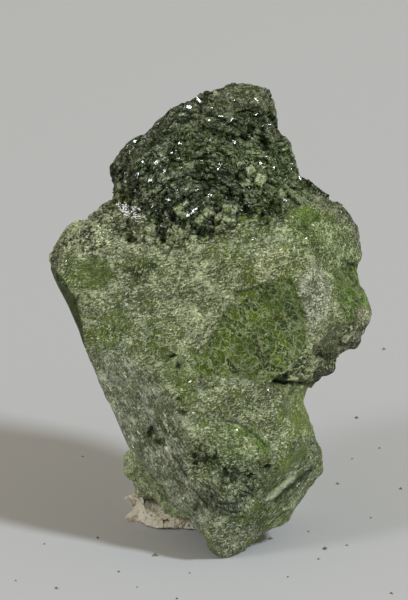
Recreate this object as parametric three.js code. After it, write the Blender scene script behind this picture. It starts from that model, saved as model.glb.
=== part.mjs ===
// A rough diopside crystal that stands on its lower tip and on a dab of mounting putty behind it.
// Millimetres, +Z up. The front faces -Y, and the origin is on the ground under the middle of the specimen.
//
// The stone is laid out as it is seen from the front and a little above: u runs right, v up and w
// towards the viewer. Its shape is a field that is negative inside, made of flat facets, and a
// dual-contouring mesher turns the field into a closed mesh that keeps the edges between facets.
import * as THREE from "three";
import { ImprovedNoise } from "three/addons/math/ImprovedNoise.js";

// How far above the ground the stone is looked at, and where (u, v, w) = (0, 0, 0) lies in the part's frame.
const VIEW_TILT = THREE.MathUtils.degToRad(20);
const STAND = new THREE.Vector3(0.15, -6.15, -1.1);

// The meshers' cells, the gap between the two pieces, and how far facets are rounded into each other.
const STONE_CELL = 0.92;
const PUTTY_CELL = 0.72;
const PUTTY_GAP = 0.5;
const EDGE_WEAR = 0.25;

const COLOURS = { stone: 0x6f8259, putty: 0xcdbfa6 };

// The outline, clockwise from the peak, in stretches. In each stretch, rim is how far the outermost
// line lies in front of the middle plane, and front and back say how fast the side runs inwards
// before and behind that line, in millimetres for each millimetre of depth.
const OUTLINE = [
  {
    part: "peak and right side of the cap",
    rim: -1.5,
    front: 0.45,
    back: 0.7,
    points: [
      [2.8, 41.0], [3.6, 40.8], [4.4, 40.4], [4.9, 39.7], [5.3, 38.8], [5.6, 37.7], [5.8, 36.7],
      [6.1, 36.3], [6.6, 35.4], [7.0, 34.7], [7.3, 33.5], [7.7, 33.0],
    ],
  },
  {
    part: "right shoulder",
    rim: -0.5,
    front: 0.55,
    back: 0.65,
    points: [
      [8.5, 32.3], [9.7, 31.5], [10.5, 30.9], [11.5, 30.1], [11.9, 29.3], [12.4, 28.4], [12.6, 27.6],
      [12.8, 26.7], [12.9, 26.0], [12.8, 25.3], [12.5, 24.9], [12.7, 24.2],
    ],
  },
  {
    part: "right point",
    rim: 1.6,
    front: 0.4,
    back: 0.5,
    points: [
      [13.0, 23.4], [13.4, 22.5], [13.7, 21.7], [13.8, 20.9], [13.7, 20.2], [13.2, 19.6],
      [12.8, 18.9], [11.8, 18.3], [10.8, 17.8],
    ],
  },
  {
    part: "layered notch under the right point",
    rim: -0.8,
    front: 0.15,
    back: 0.45,
    points: [
      [10.7, 17.1], [10.5, 16.4], [10.2, 15.8], [9.4, 15.3], [8.6, 14.9], [8.2, 14.6],
    ],
  },
  {
    part: "lower right side",
    rim: 0.5,
    front: 0.35,
    back: 0.55,
    points: [
      [8.0, 14.0], [8.0, 13.1], [8.3, 12.0], [8.7, 11.1], [8.7, 10.4], [9.0, 9.6], [9.3, 8.8],
      [9.5, 7.9], [9.4, 7.0], [8.8, 6.4], [8.3, 5.7], [7.7, 4.7], [7.0, 3.6], [6.4, 2.8],
    ],
  },
  {
    part: "bottom tip",
    rim: 3.0,
    front: 0.2,
    back: 0.3,
    points: [
      [5.5, 2.2], [4.4, 1.5], [3.6, 1.0], [2.4, 0.4], [1.3, -0.1], [0.6, -0.1], [-0.1, 0.4],
      [-0.8, 1.1], [-1.4, 2.0], [-1.9, 3.0],
    ],
  },
  {
    part: "lower left edge",
    rim: 4.4,
    front: 0.3,
    back: 0.25,
    points: [
      [-3.3, 4.6], [-4.9, 6.5], [-6.4, 8.3],
    ],
  },
  {
    part: "left cleavage face, a straight flat",
    rim: 0,
    front: 0,
    back: 0.05,
    points: [
      [-7.4, 9.5], [-9.0, 13.3], [-10.6, 17.1], [-12.2, 20.9], [-13.7, 24.5],
    ],
  },
  {
    part: "left shoulder",
    rim: 0.3,
    front: 0.5,
    back: 0.55,
    points: [
      [-14.2, 25.9], [-13.9, 26.8], [-13.3, 27.8], [-12.4, 28.9], [-11.1, 29.7], [-9.9, 30.2],
    ],
  },
  {
    part: "neck and left side of the cap",
    rim: -1.2,
    front: 0.45,
    back: 0.7,
    points: [
      [-9.1, 30.9], [-8.8, 31.6], [-8.7, 32.5], [-9.1, 33.1], [-9.1, 33.7], [-8.6, 34.4],
      [-8.1, 35.1], [-7.3, 35.9], [-6.5, 36.5], [-5.4, 37.1], [-4.3, 37.9], [-3.3, 38.8],
      [-2.2, 39.6], [-1.4, 39.8], [-0.3, 40.3], [0.8, 40.5], [1.9, 40.9],
    ],
  },
];

// Lumps on broken surfaces, in millimetres: how high and how long they are.
const LUMPS = {
  cap: { height: 0.6, length: 2.6 },
  front: { height: 0.14, length: 3.4 },
  side: { height: 0.8, length: 3.8 },
  back: { height: 0.6, length: 4.6 },
};
const LUMP_AXIS = new THREE.Vector3(1, 1, 1).normalize();
const LUMP_TURN = 0.7;

// A flat facet of the front or back: its depth w at the point (u, v), and how it changes along u and v.
const facet = (u, v, w, alongU, alongV) => (x, y) => w + alongU * (x - u) + alongV * (y - v);

// The front is built of chunks. In each, the facets meet in convex edges, and the chunk ends in a
// steep wall along its own border, so that it stands above its neighbours there or drops below them.
const CHUNKS = [
  {
    part: "main crystal, with the pale face, the green window and the right point",
    lumps: LUMPS.front,
    wall: 2.6,
    border: [
      [-15.5, 27.5], [-11.6, 28.3], [-9.6, 28.0], [-7.4, 28.6], [-5.6, 27.6], [-4.2, 26.3], [-2.6, 27.8],
      [0.0, 28.8], [4.6, 29.0], [6.6, 29.6], [7.8, 31.0], [8.6, 33.0], [15.5, 30.0], [15.5, 17.4],
      [10.9, 17.6], [8.6, 18.7], [8.3, 17.9], [5.0, 15.2], [1.0, 14.5], [-3.0, 13.0], [-8.0, 7.0],
      [-15.5, 20.0],
    ],
    facets: [
      facet(-2.8, 18.0, 7.4, 0.28, -0.17),
      facet(-2.4, 11.8, 7.3, 0.44, 0.22),
      facet(4.0, 20.0, 8.5, 0.02, 0.12),
      facet(2.3, 22.9, 8.6, 0.1, -0.43),
      facet(7.4, 23.0, 8.2, -1.0, -0.2),
      facet(9.4, 22.5, 6.0, -0.5, 0.02),
      facet(10.0, 29.0, 4.6, -0.5, -0.75),
      facet(-10.2, 26.4, 3.9, 0.5, -0.62),
    ],
  },
  {
    part: "lower crystal, with the cleavage facets at the lower right",
    lumps: LUMPS.front,
    wall: 2.6,
    border: [
      [-15.5, 20.0], [-8.0, 14.0], [0.0, 15.4], [8.2, 14.9], [11.0, 12.0], [11.0, 5.0], [3.0, -2.0],
      [-3.0, -1.0], [-10.0, 9.0],
    ],
    facets: [
      facet(-2.4, 11.8, 7.3, 0.44, 0.22),
      facet(0.0, 13.5, 7.2, -0.12, 0.05),
      facet(6.6, 13.0, 5.9, -0.75, 0.1),
      facet(3.6, 7.1, 6.7, -0.55, 0.6),
      facet(7.1, 5.6, 3.7, -1.1, 1.15),
    ],
  },
  {
    part: "low mound above the tip, broken off in an arc",
    lumps: LUMPS.front,
    wall: 1.6,
    border: [
      [-1.4, 2.0], [-2.4, 5.0], [-2.6, 8.0], [-1.4, 10.8], [0.6, 11.8], [2.6, 11.1], [4.2, 9.9], [5.0, 8.4],
      [4.0, 6.6], [2.0, 4.2], [0.6, 2.2],
    ],
    facets: [
      facet(0.6, 8.0, 8.0, -0.12, -0.04),
      facet(-2.4, 11.8, 7.35, 0.44, 0.22),
      facet(3.6, 7.1, 7.0, -0.55, 0.6),
    ],
  },
  {
    part: "dark cap of small crystals",
    lumps: LUMPS.cap,
    wall: 2.0,
    border: [
      [-11.0, 30.2], [-7.2, 27.6], [-4.4, 25.6], [0.0, 27.6], [5.0, 27.8], [7.6, 29.4], [9.5, 33.5],
      [7.0, 42.5], [-2.0, 42.5], [-11.5, 36.0],
    ],
    facets: [
      facet(-1.1, 28.6, 5.0, 0.12, -0.26),
      facet(4.0, 33.0, 4.3, -0.55, -0.3),
      facet(0.0, 38.6, 2.6, 0.02, -0.8),
      facet(-6.6, 32.0, 3.6, 0.62, -0.1),
    ],
  },
  {
    part: "stack of thin plates under the window's lower right edge",
    lumps: LUMPS.front,
    wall: 3.0,
    border: [
      [5.0, 15.4], [8.4, 19.0], [8.5, 14.9], [6.4, 15.0],
    ],
    facets: [
      facet(7.5, 16.2, 5.8, -0.15, 0.12),
    ],
  },
  {
    part: "dark ledge under the right point",
    lumps: LUMPS.front,
    wall: 3.0,
    border: [
      [7.6, 14.6], [8.4, 18.9], [12.5, 19.5], [12.5, 14.5], [9.2, 14.0],
    ],
    facets: [
      facet(9.4, 16.6, 3.2, -0.35, 0.3),
    ],
  },
];

// Places where the front is cut back below the facets round it.
const RECESSES = [
  {
    part: "green window, a smooth cleavage face below the pale ridge",
    wall: 1.1,
    border: [
      [2.2, 22.9], [6.6, 24.0], [7.2, 22.7], [8.2, 20.0], [8.7, 18.2], [5.1, 14.8], [1.0, 13.6],
      [-3.2, 14.6], [-2.8, 18.0], [0.3, 20.3],
    ],
    floor: facet(4.0, 20.0, 7.6, 0.03, 0.1),
  },
  {
    part: "pocket in the right side of the cap",
    wall: 1.1,
    border: [
      [2.9, 36.2], [3.4, 38.0], [4.5, 37.6], [4.6, 35.8], [3.6, 35.2],
    ],
    floor: facet(3.8, 36.8, 1.4, 0, -0.2),
  },
  {
    part: "pit at the left end of the cap's lower edge",
    wall: 1.4,
    border: [
      [-8.2, 29.6], [-6.9, 29.9], [-6.5, 28.2], [-7.3, 27.4], [-8.1, 27.8],
    ],
    floor: facet(-7.4, 28.4, 2.9, 0.3, -0.1),
  },
];

// A narrow steep facet that cuts the corner between the pale face and the left cleavage face. It ends
// below the left shoulder, at a line that runs down to the right from the outline.
const SLIVER = {
  onEdge: new THREE.Vector3(-12.8, 22.1, 1.7),
  onFace: new THREE.Vector3(-11.5, 22.1, 4.3),
  lowEnd: new THREE.Vector3(-11.1, 18.2, 4.9),
  top: new THREE.Vector3(-13.8, 24.6, 0),
  topFacing: new THREE.Vector3(-0.75, -0.66, 0),
};

// The back is broken in a few large planes that meet in convex edges.
const BACK_FACETS = [
  facet(1.0, 23.0, -7.3, -0.06, 0.14),
  facet(-8.0, 20.0, -6.2, -0.34, -0.05),
  facet(8.0, 22.0, -5.6, 0.55, -0.08),
  facet(0.0, 34.0, -5.2, 0.1, 0.42),
  facet(0.0, 8.0, -6.6, 0.1, -1.15),
  facet(6.5, 10.0, -4.2, 0.6, -0.35),
];

// Cleavage slabs that stand off the back's planes and end in steps.
const BACK_SLABS = [
  {
    part: "slab high on the back",
    wall: 1.5,
    border: [
      [-11.0, 30.6], [-3.5, 35.4], [1.8, 30.4], [0.6, 24.2], [-3.8, 18.6], [-9.2, 20.8],
    ],
    face: facet(-4.0, 27.0, -7.5, 0.02, 0.16),
  },
  {
    part: "slab low on the right",
    wall: 1.5,
    border: [
      [-0.4, 20.2], [5.4, 21.4], [8.6, 14.2], [6.2, 8.4], [1.4, 10.8],
    ],
    face: facet(4.0, 14.0, -7.9, 0.25, 0.05),
  },
];

// The knobbly lobe low on the left, set back behind the lower left edge: the balls it grows from.
const LOBE = [
  { at: [-5.8, 7.5, -3.4], radius: 2.15 },
  { at: [-5.0, 6.2, -4.4], radius: 2.0 },
  { at: [-3.5, 5.3, -3.6], radius: 1.7 },
  { at: [-2.2, 4.7, -2.6], radius: 1.6 },
];
const LOBE_JOIN = 0.8;

// The putty: a low dab whose rounded heaps are given in the part's frame.
const PUTTY_HEAPS = [
  { at: [-3.6, 0.7, 0.5], size: [3.6, 2.9, 2.7] },
  { at: [-1.1, 4.7, 0.8], size: [5.2, 4.6, 4.4] },
  { at: [2.5, 3.5, 0.4], size: [4.4, 4.0, 3.4] },
  { at: [-5.8, 0.6, 0.8], size: [2.0, 1.7, 1.5] },
];
const PUTTY_JOIN = 0.9;
const PUTTY_LUMPS = { height: 0.3, length: 1.8 };

// A depth is longer than the distance to a sloping facet. This factor brings it near the distance.
const DEPTH_SCALE = 0.85;
// The field is cut short this far outside the outline, where nothing else can matter.
const FAR_OUTSIDE = 7;
// A distance or depth beyond everything, to start from.
const FAR = 1000;

const noise = new ImprovedNoise();
const outlinePoints = OUTLINE.flatMap((stretch) => stretch.points);
const outlineSides = smoothedSides();

// Rim, front and back at each outline point, averaged with the neighbours so that stretches join smoothly.
function smoothedSides() {
  const sides = OUTLINE.flatMap(({ rim, front, back, points }) =>
    points.map(() => [rim, front, back]),
  );
  const count = sides.length;
  return sides.map((_, i) =>
    [0, 1, 2].map((k) => {
      const near = [-1, 0, 1].map((step) => sides[(i + step + count) % count][k]);
      return (near[0] + 2 * near[1] + near[2]) / 4;
    }),
  );
}

// The signed distance from (u, v) to a closed polygon, negative inside, and where its nearest point is.
function polygonDistance(points, u, v) {
  let nearest = Infinity;
  let segment = 0;
  let along = 0;
  let inside = false;
  for (let i = 0, j = points.length - 1; i < points.length; j = i, i += 1) {
    const [au, av] = points[j];
    const [bu, bv] = points[i];
    const du = bu - au;
    const dv = bv - av;
    const t = THREE.MathUtils.clamp(((u - au) * du + (v - av) * dv) / (du * du + dv * dv), 0, 1);
    const distance = Math.hypot(u - au - t * du, v - av - t * dv);
    if (distance < nearest) {
      nearest = distance;
      segment = j;
      along = t;
    }
    if (av > v !== bv > v && u < ((bu - au) * (v - av)) / (bv - av) + au) inside = !inside;
  }
  return { distance: inside ? -nearest : nearest, segment, along };
}

// The larger and the smaller of two values, rounded off where they are within reach of each other.
function softMax(a, b, reach) {
  const h = Math.max(reach - Math.abs(a - b), 0) / reach;
  return Math.max(a, b) + (h * h * reach) / 4;
}
const softMin = (a, b, reach) => -softMax(-a, -b, reach);

// Lumps of two sizes: the small ones are half as high and half as long. The noise is turned twice, because
// its own rows and columns would show on a surface that runs along them.
function lumps({ height, length }, u, v, w) {
  const large = new THREE.Vector3(u, v, w).divideScalar(length).applyAxisAngle(LUMP_AXIS, LUMP_TURN);
  const small = large.clone().multiplyScalar(2).applyAxisAngle(LUMP_AXIS, LUMP_TURN);
  return height * (noise.noise(...large) + 0.5 * noise.noise(...small));
}

// How deep the front surface lies at (u, v).
function frontDepth(u, v) {
  let depth = -FAR;
  for (const chunk of CHUNKS) {
    const outside = Math.max(0, polygonDistance(chunk.border, u, v).distance);
    const facets = chunk.facets.map((f) => f(u, v));
    const surface = facets.reduce((least, next) => softMin(least, next, EDGE_WEAR)) +
      lumps(chunk.lumps, u, v, 0);
    depth = softMax(depth, surface - chunk.wall * outside, EDGE_WEAR);
  }
  for (const { border, floor, wall } of RECESSES) {
    const outside = polygonDistance(border, u, v).distance;
    depth = softMin(depth, floor(u, v) + wall * Math.max(0, outside), EDGE_WEAR);
  }
  return depth;
}

// How deep the back surface lies at (u, v), a negative depth.
function backDepth(u, v) {
  let depth = Math.max(...BACK_FACETS.map((f) => f(u, v)));
  for (const { border, face, wall } of BACK_SLABS) {
    const outside = Math.max(0, polygonDistance(border, u, v).distance);
    depth = softMin(depth, face(u, v) + wall * outside, EDGE_WEAR);
  }
  return depth + lumps(LUMPS.back, u, v, 20);
}

function sideDistance(u, v, w) {
  const { distance, segment, along } = polygonDistance(outlinePoints, u, v);
  const here = outlineSides[segment];
  const next = outlineSides[(segment + 1) % outlineSides.length];
  const [rim, front, back] = here.map((value, k) => THREE.MathUtils.lerp(value, next[k], along));
  const offRim = Math.min(1, Math.abs(w - rim) / LUMPS.side.length) * Math.min(1, 4 * back);
  return distance + front * Math.max(0, w - rim) + back * Math.max(0, rim - w) +
    offRim * lumps(LUMPS.side, u, v, w);
}

const sliverPlane = new THREE.Plane().setFromCoplanarPoints(SLIVER.onEdge, SLIVER.lowEnd, SLIVER.onFace);
if (sliverPlane.normal.x > 0) sliverPlane.negate();
const sliverTop = new THREE.Plane().setFromNormalAndCoplanarPoint(SLIVER.topFacing, SLIVER.top);

// The stone's field at a point of the part's frame.
function stoneField(x, y, z) {
  const [u, v, w] = toFront(x, y, z);
  const side = sideDistance(u, v, w);
  if (side > FAR_OUTSIDE) return side;
  let field = softMax(side, DEPTH_SCALE * (w - frontDepth(u, v)), EDGE_WEAR);
  field = softMax(field, DEPTH_SCALE * (backDepth(u, v) - w), EDGE_WEAR);
  const point = new THREE.Vector3(u, v, w);
  field = Math.max(field, Math.min(sliverPlane.distanceToPoint(point), sliverTop.distanceToPoint(point)));
  for (const { at, radius } of LOBE) {
    const ball = Math.hypot(u - at[0], v - at[1], w - at[2]) - radius + lumps(LUMPS.cap, u, v, w) / 2;
    field = softMin(field, ball, LOBE_JOIN);
  }
  return Math.max(field, -z);
}

// The putty's field: the heaps joined, lumpy, flat on the ground, and clear of the stone pressed into it.
function puttyField(x, y, z) {
  let field = FAR;
  for (const { at, size } of PUTTY_HEAPS) {
    const reach = Math.hypot((x - at[0]) / size[0], (y - at[1]) / size[1], (z - at[2]) / size[2]);
    field = softMin(field, (reach - 1) * Math.min(...size), PUTTY_JOIN);
  }
  field += lumps(PUTTY_LUMPS, x, y, z);
  return Math.max(field, -z, PUTTY_GAP - stoneField(x, y, z));
}

// From the part's frame to the front view's (u, v, w).
function toFront(x, y, z) {
  const cos = Math.cos(VIEW_TILT);
  const sin = Math.sin(VIEW_TILT);
  const back = y - STAND.y;
  const up = z - STAND.z;
  return [x - STAND.x, back * sin + up * cos, up * sin - back * cos];
}

// Dual contouring: one vertex in each cell that the surface crosses, placed where the tangent
// planes of its crossings meet, and one four-sided face round each grid edge that it crosses.
function meshOfField(field, box, cell) {
  const size = box.getSize(new THREE.Vector3());
  const [nx, ny, nz] = [size.x, size.y, size.z].map((length) => Math.ceil(length / cell) + 1);
  const corner = (i, j, k) => (k * ny + j) * nx + i;
  const place = (i, j, k) => [box.min.x + i * cell, box.min.y + j * cell, box.min.z + k * cell];
  const values = new Float64Array(nx * ny * nz);
  for (let k = 0; k < nz; k += 1)
    for (let j = 0; j < ny; j += 1)
      for (let i = 0; i < nx; i += 1) values[corner(i, j, k)] = field(...place(i, j, k));
  closeThinContacts(values, [nx, ny, nz], corner);

  const steps = [[1, 0, 0], [0, 1, 0], [0, 0, 1]];
  const cells = new Map();
  const quads = [];
  for (let k = 1; k < nz - 1; k += 1)
    for (let j = 1; j < ny - 1; j += 1)
      for (let i = 1; i < nx - 1; i += 1)
        steps.forEach((step, axis) => {
          const here = values[corner(i, j, k)] < 0;
          const there = values[corner(i + step[0], j + step[1], k + step[2])] < 0;
          if (here === there) return;
          const crossing = crossingOf(field, place(i, j, k), step, cell, here);
          const [a, b] = [steps[(axis + 1) % 3], steps[(axis + 2) % 3]];
          const round = [[0, 0], [1, 0], [1, 1], [0, 1]].map(([p, q]) => {
            const at = [0, 1, 2].map((n) => [i, j, k][n] - p * a[n] - q * b[n]);
            const key = corner(...at);
            if (!cells.has(key)) cells.set(key, { at, crossings: [] });
            cells.get(key).crossings.push(crossing);
            return key;
          });
          quads.push(here ? round : round.reverse());
        });

  const number = new Map([...cells.keys()].map((key, n) => [key, n]));
  const points = [...cells.values()].map(({ at, crossings }) =>
    meetingPoint(crossings, place(...at), cell),
  );
  const index = quads.flatMap((quad) => {
    const [a, b, c, d] = quad.map((key) => number.get(key));
    const offSurface = (p, q) =>
      Math.abs(field(...[0, 1, 2].map((n) => (points[p][n] + points[q][n]) / 2)));
    return offSurface(a, c) <= offSurface(b, d) ? [a, b, c, a, c, d] : [a, b, d, b, c, d];
  });
  return new THREE.BufferGeometry()
    .setAttribute("position", new THREE.Float32BufferAttribute(points.flat(), 3))
    .setIndex(index);
}

// Fills grid corners where two parts of the solid would touch at an edge only, so the mesh stays closed.
function closeThinContacts(values, [nx, ny, nz], corner) {
  const faces = [[[1, 0, 0], [0, 1, 0]], [[0, 1, 0], [0, 0, 1]], [[0, 0, 1], [1, 0, 0]]];
  const barely = -1e-3;
  for (let changed = true; changed; ) {
    changed = false;
    for (let k = 0; k < nz - 1; k += 1)
      for (let j = 0; j < ny - 1; j += 1)
        for (let i = 0; i < nx - 1; i += 1)
          for (const [a, b] of faces) {
            const ids = [[0, 0], [1, 0], [1, 1], [0, 1]].map(([p, q]) =>
              corner(i + p * a[0] + q * b[0], j + p * a[1] + q * b[1], k + p * a[2] + q * b[2]),
            );
            const [p, q, r, s] = ids.map((id) => values[id] < 0);
            if (p !== r || q !== s || p === q) continue;
            values[p ? ids[1] : ids[0]] = barely;
            changed = true;
          }
  }
}

// Where the surface crosses a grid edge, and which way it faces there.
function crossingOf(field, start, step, cell, startInside) {
  const halvings = 14;
  let low = 0;
  let high = 1;
  const along = (t) => start.map((value, n) => value + t * cell * step[n]);
  for (let n = 0; n < halvings; n += 1) {
    const middle = (low + high) / 2;
    if (field(...along(middle)) < 0 === startInside) low = middle;
    else high = middle;
  }
  const point = along((low + high) / 2);
  const reach = 0.02 * cell;
  const normal = [0, 1, 2].map((n) => {
    const shifted = (sign) => field(...point.map((value, m) => value + (m === n ? sign * reach : 0)));
    return shifted(1) - shifted(-1);
  });
  const length = Math.hypot(...normal) || 1;
  return { point, normal: normal.map((value) => value / length) };
}

// The point nearest to all the crossings' tangent planes, held near their middle and inside the cell.
function meetingPoint(crossings, low, cell) {
  const hold = 0.08;
  const middle = [0, 1, 2].map(
    (n) => crossings.reduce((sum, { point }) => sum + point[n], 0) / crossings.length,
  );
  const matrix = [0, 1, 2].map((r) => [0, 1, 2].map((c) => (r === c ? hold : 0)));
  const right = [0, 0, 0];
  for (const { point, normal } of crossings) {
    const off = normal.reduce((sum, value, n) => sum + value * (point[n] - middle[n]), 0);
    for (let r = 0; r < 3; r += 1) {
      right[r] += normal[r] * off;
      for (let c = 0; c < 3; c += 1) matrix[r][c] += normal[r] * normal[c];
    }
  }
  const shift = new THREE.Vector3(...right).applyMatrix3(
    new THREE.Matrix3(...matrix.flat()).invert(),
  );
  const margin = 0.03 * cell;
  return middle.map((value, n) =>
    THREE.MathUtils.clamp(value + shift.getComponent(n), low[n] + margin, low[n] + cell - margin),
  ).map((value, n) => (n === 2 ? Math.max(0, value) : value));
}

function solid(name, field, box, cell, colour, roughness) {
  const geometry = meshOfField(field, box, cell);
  const mesh = new THREE.Mesh(
    geometry,
    new THREE.MeshStandardMaterial({ color: colour, roughness, metalness: 0, flatShading: true }),
  );
  mesh.name = name;
  return mesh;
}

const specimen = new THREE.Group();
specimen.name = "diopside_specimen";
specimen.add(
  solid(
    "crystal",
    stoneField,
    new THREE.Box3(new THREE.Vector3(-16.3, -14.3, -2.4), new THREE.Vector3(16.3, 16.2, 41.5)),
    STONE_CELL,
    COLOURS.stone,
    0.55,
  ),
  solid(
    "putty",
    puttyField,
    new THREE.Box3(new THREE.Vector3(-10.3, -3.2, -1.55), new THREE.Vector3(9.3, 12.6, 8.3)),
    PUTTY_CELL,
    COLOURS.putty,
    0.9,
  ),
);

export default specimen;
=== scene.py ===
# The looks of a rough diopside crystal that stands on its tip and on a dab of mounting putty.
# Blender works in metres. The stone's own sizes and places are in millimetres, in the front view's
# (u, v, w): u runs right, v up and w towards the viewer, who looks down at the stone by VIEW_TILT.
import itertools
import math

import bpy
import numpy as np
from mathutils import Matrix, Vector


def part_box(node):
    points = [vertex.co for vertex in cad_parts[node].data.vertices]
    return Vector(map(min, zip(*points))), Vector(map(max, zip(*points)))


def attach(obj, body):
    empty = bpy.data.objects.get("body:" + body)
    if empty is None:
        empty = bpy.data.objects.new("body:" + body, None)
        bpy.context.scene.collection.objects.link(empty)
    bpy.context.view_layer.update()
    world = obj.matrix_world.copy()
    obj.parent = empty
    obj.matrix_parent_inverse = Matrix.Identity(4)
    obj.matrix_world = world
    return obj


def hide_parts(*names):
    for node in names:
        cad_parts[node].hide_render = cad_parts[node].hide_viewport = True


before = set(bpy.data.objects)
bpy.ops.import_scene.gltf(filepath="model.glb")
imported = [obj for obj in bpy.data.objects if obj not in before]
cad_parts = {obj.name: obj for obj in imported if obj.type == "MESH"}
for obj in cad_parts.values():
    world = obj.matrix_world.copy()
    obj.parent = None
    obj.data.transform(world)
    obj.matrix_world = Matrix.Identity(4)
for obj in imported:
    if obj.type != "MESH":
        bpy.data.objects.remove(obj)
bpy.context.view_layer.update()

MM = 0.001
VIEW_TILT = math.radians(20)
STAND = np.array([0.15, -6.15, -1.1])  # where (u, v, w) = (0, 0, 0) lies in the frame, in millimetres

# Axes of the front view in the frame: rows u, v and w.
TO_FRONT = np.array([
    [1.0, 0.0, 0.0],
    [0.0, math.sin(VIEW_TILT), math.cos(VIEW_TILT)],
    [0.0, -math.cos(VIEW_TILT), math.sin(VIEW_TILT)],
])


def to_front(points):
    """Points in metres to (u, v, w) in millimetres."""
    return (points / MM - STAND) @ TO_FRONT.T


def from_front(places):
    """(u, v, w) in millimetres to points in metres."""
    return (places @ TO_FRONT + STAND) * MM


# Noise: smooth clouds, and crystals that each have a height and a tilt of their own.

def hashed(cells, seed):
    """A number from 0 to 1 for each whole-numbered cell, always the same for a seed."""
    mixed = cells[..., 0] * 73856093 ^ cells[..., 1] * 19349663 ^ cells[..., 2] * 83492791
    mixed = (mixed ^ (seed + 1) * 40503) & 0xFFFFFFFF
    for _ in range(2):
        mixed = ((mixed ^ mixed >> 16) * 0x45D9F3B) & 0xFFFFFFFF
    return (mixed ^ mixed >> 16) / 2**32


def clouds(places, seed):
    """Smooth noise from -1 to 1 with lumps about one unit across."""
    low = np.floor(places).astype(np.int64)
    part = places - low
    part = part * part * (3 - 2 * part)
    total = np.zeros(len(places))
    for corner in itertools.product((0, 1), repeat=3):
        weight = np.prod(np.where(corner, part, 1 - part), axis=1)
        total += weight * hashed(low + corner, seed)
    return 2 * total - 1


def rough(places, seed, octaves=3):
    """Clouds of several sizes, each size half of the last and turned, from about -1 to 1."""
    turn = np.array(Matrix.Rotation(0.9, 3, Vector((1, 2, 3)).normalized()))
    total = np.zeros(len(places))
    for octave in range(octaves):
        total += clouds(places, seed + octave) / 2**octave
        places = places @ turn.T * 2 + 0.5
    return total / 1.4


def crystals(places, seed, tilt=1.2):
    """Cells about one unit across. Returns how high each point lies on its own tilted cell, and how much
    nearer that cell's centre is than the next one's."""
    low = np.floor(places).astype(np.int64)
    nearest = np.full(len(places), np.inf)
    second = np.full(len(places), np.inf)
    height = np.zeros(len(places))
    for corner in itertools.product((-1, 0, 1), repeat=3):
        cell = low + corner
        centre = cell + np.stack([hashed(cell, seed + k) for k in (11, 12, 13)], axis=1)
        away = places - centre
        distance = np.linalg.norm(away, axis=1)
        closer = distance < nearest
        second = np.where(closer, nearest, np.minimum(second, distance))
        nearest = np.minimum(nearest, distance)
        lean = np.stack([hashed(cell, seed + k) - 0.5 for k in (21, 22, 23)], axis=1) * tilt
        own = hashed(cell, seed + 31) - 0.5 + np.sum(away * lean, axis=1)
        height = np.where(closer, own, height)
    return height, second - nearest


def soft_step(low, high, value):
    """0 below low, 1 above high, and a smooth rise between them."""
    part = np.clip((value - low) / (high - low), 0, 1)
    return part * part * (3 - 2 * part)


# Shapes laid out on the front view.

def outline_distance(outline, places):
    """The signed distance in (u, v) from a closed outline, negative inside."""
    corners = np.array(outline)
    nearest = np.full(len(places), np.inf)
    inside = np.zeros(len(places), bool)
    u, v = places[:, 0], places[:, 1]
    for (au, av), (bu, bv) in zip(corners, np.roll(corners, -1, axis=0)):
        du, dv = bu - au, bv - av
        along = np.clip(((u - au) * du + (v - av) * dv) / (du * du + dv * dv), 0, 1)
        nearest = np.minimum(nearest, np.hypot(u - au - along * du, v - av - along * dv))
        if av != bv:
            inside ^= ((av > v) != (bv > v)) & (u < (bu - au) * (v - av) / (bv - av) + au)
    return np.where(inside, -nearest, nearest)


def line_distance(line, places):
    """The distance in (u, v) from an open line."""
    nearest = np.full(len(places), np.inf)
    u, v = places[:, 0], places[:, 1]
    for (au, av), (bu, bv) in zip(line, line[1:]):
        du, dv = bu - au, bv - av
        along = np.clip(((u - au) * du + (v - av) * dv) / (du * du + dv * dv), 0, 1)
        nearest = np.minimum(nearest, np.hypot(u - au - along * du, v - av - along * dv))
    return nearest


# Colours, in linear light.
BLACK_GREEN = (0.014, 0.020, 0.008)
DARK_GREEN = (0.042, 0.066, 0.012)
DEEP_GREEN = (0.058, 0.090, 0.004)
OLIVE = (0.102, 0.132, 0.018)
GREY_GREEN = (0.090, 0.108, 0.045)
SAGE = (0.378, 0.428, 0.264)
SILVER = (0.400, 0.430, 0.290)
WHITE_GREY = (0.460, 0.485, 0.330)


def looks(deep, frost, cover, net=0, glitter=0, calm=0, face=0, band=0, strips=0, cap=0):
    """deep is the colour of the crystal and frost that of the broken, powdery grains over it, cover how much
    of the crystal they hide, net how much of it shows as fine pale cracks, glitter how far the small
    crystals' faces are turned each its own way, and calm how even the colour is. face, band, strips and
    cap are how much of the grain is drawn out in threads along the face, the band, the strips and the flow
    of the cap. In a few zones, marked where they stand, the colours also hold painted shade or painted light."""
    values = dict(deep=deep, frost=frost, cover=cover, net=net, glitter=glitter, calm=calm,
                  fibres=(face, band, strips, cap))
    return {name: np.atleast_1d(np.array(value, float)) for name, value in values.items()}


def zone(outline, edge, back, *values, front=None, steady=False, **more):
    """A part of the stone with looks of its own, inside an outline in (u, v). edge is how softly it ends, and
    back and front are the depths w between which it lies. A steady outline has no small waves."""
    limits = dict(outline=outline, edge=edge, back=back, front=front, steady=steady)
    return dict(limits, looks=looks(*values, **more))


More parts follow.
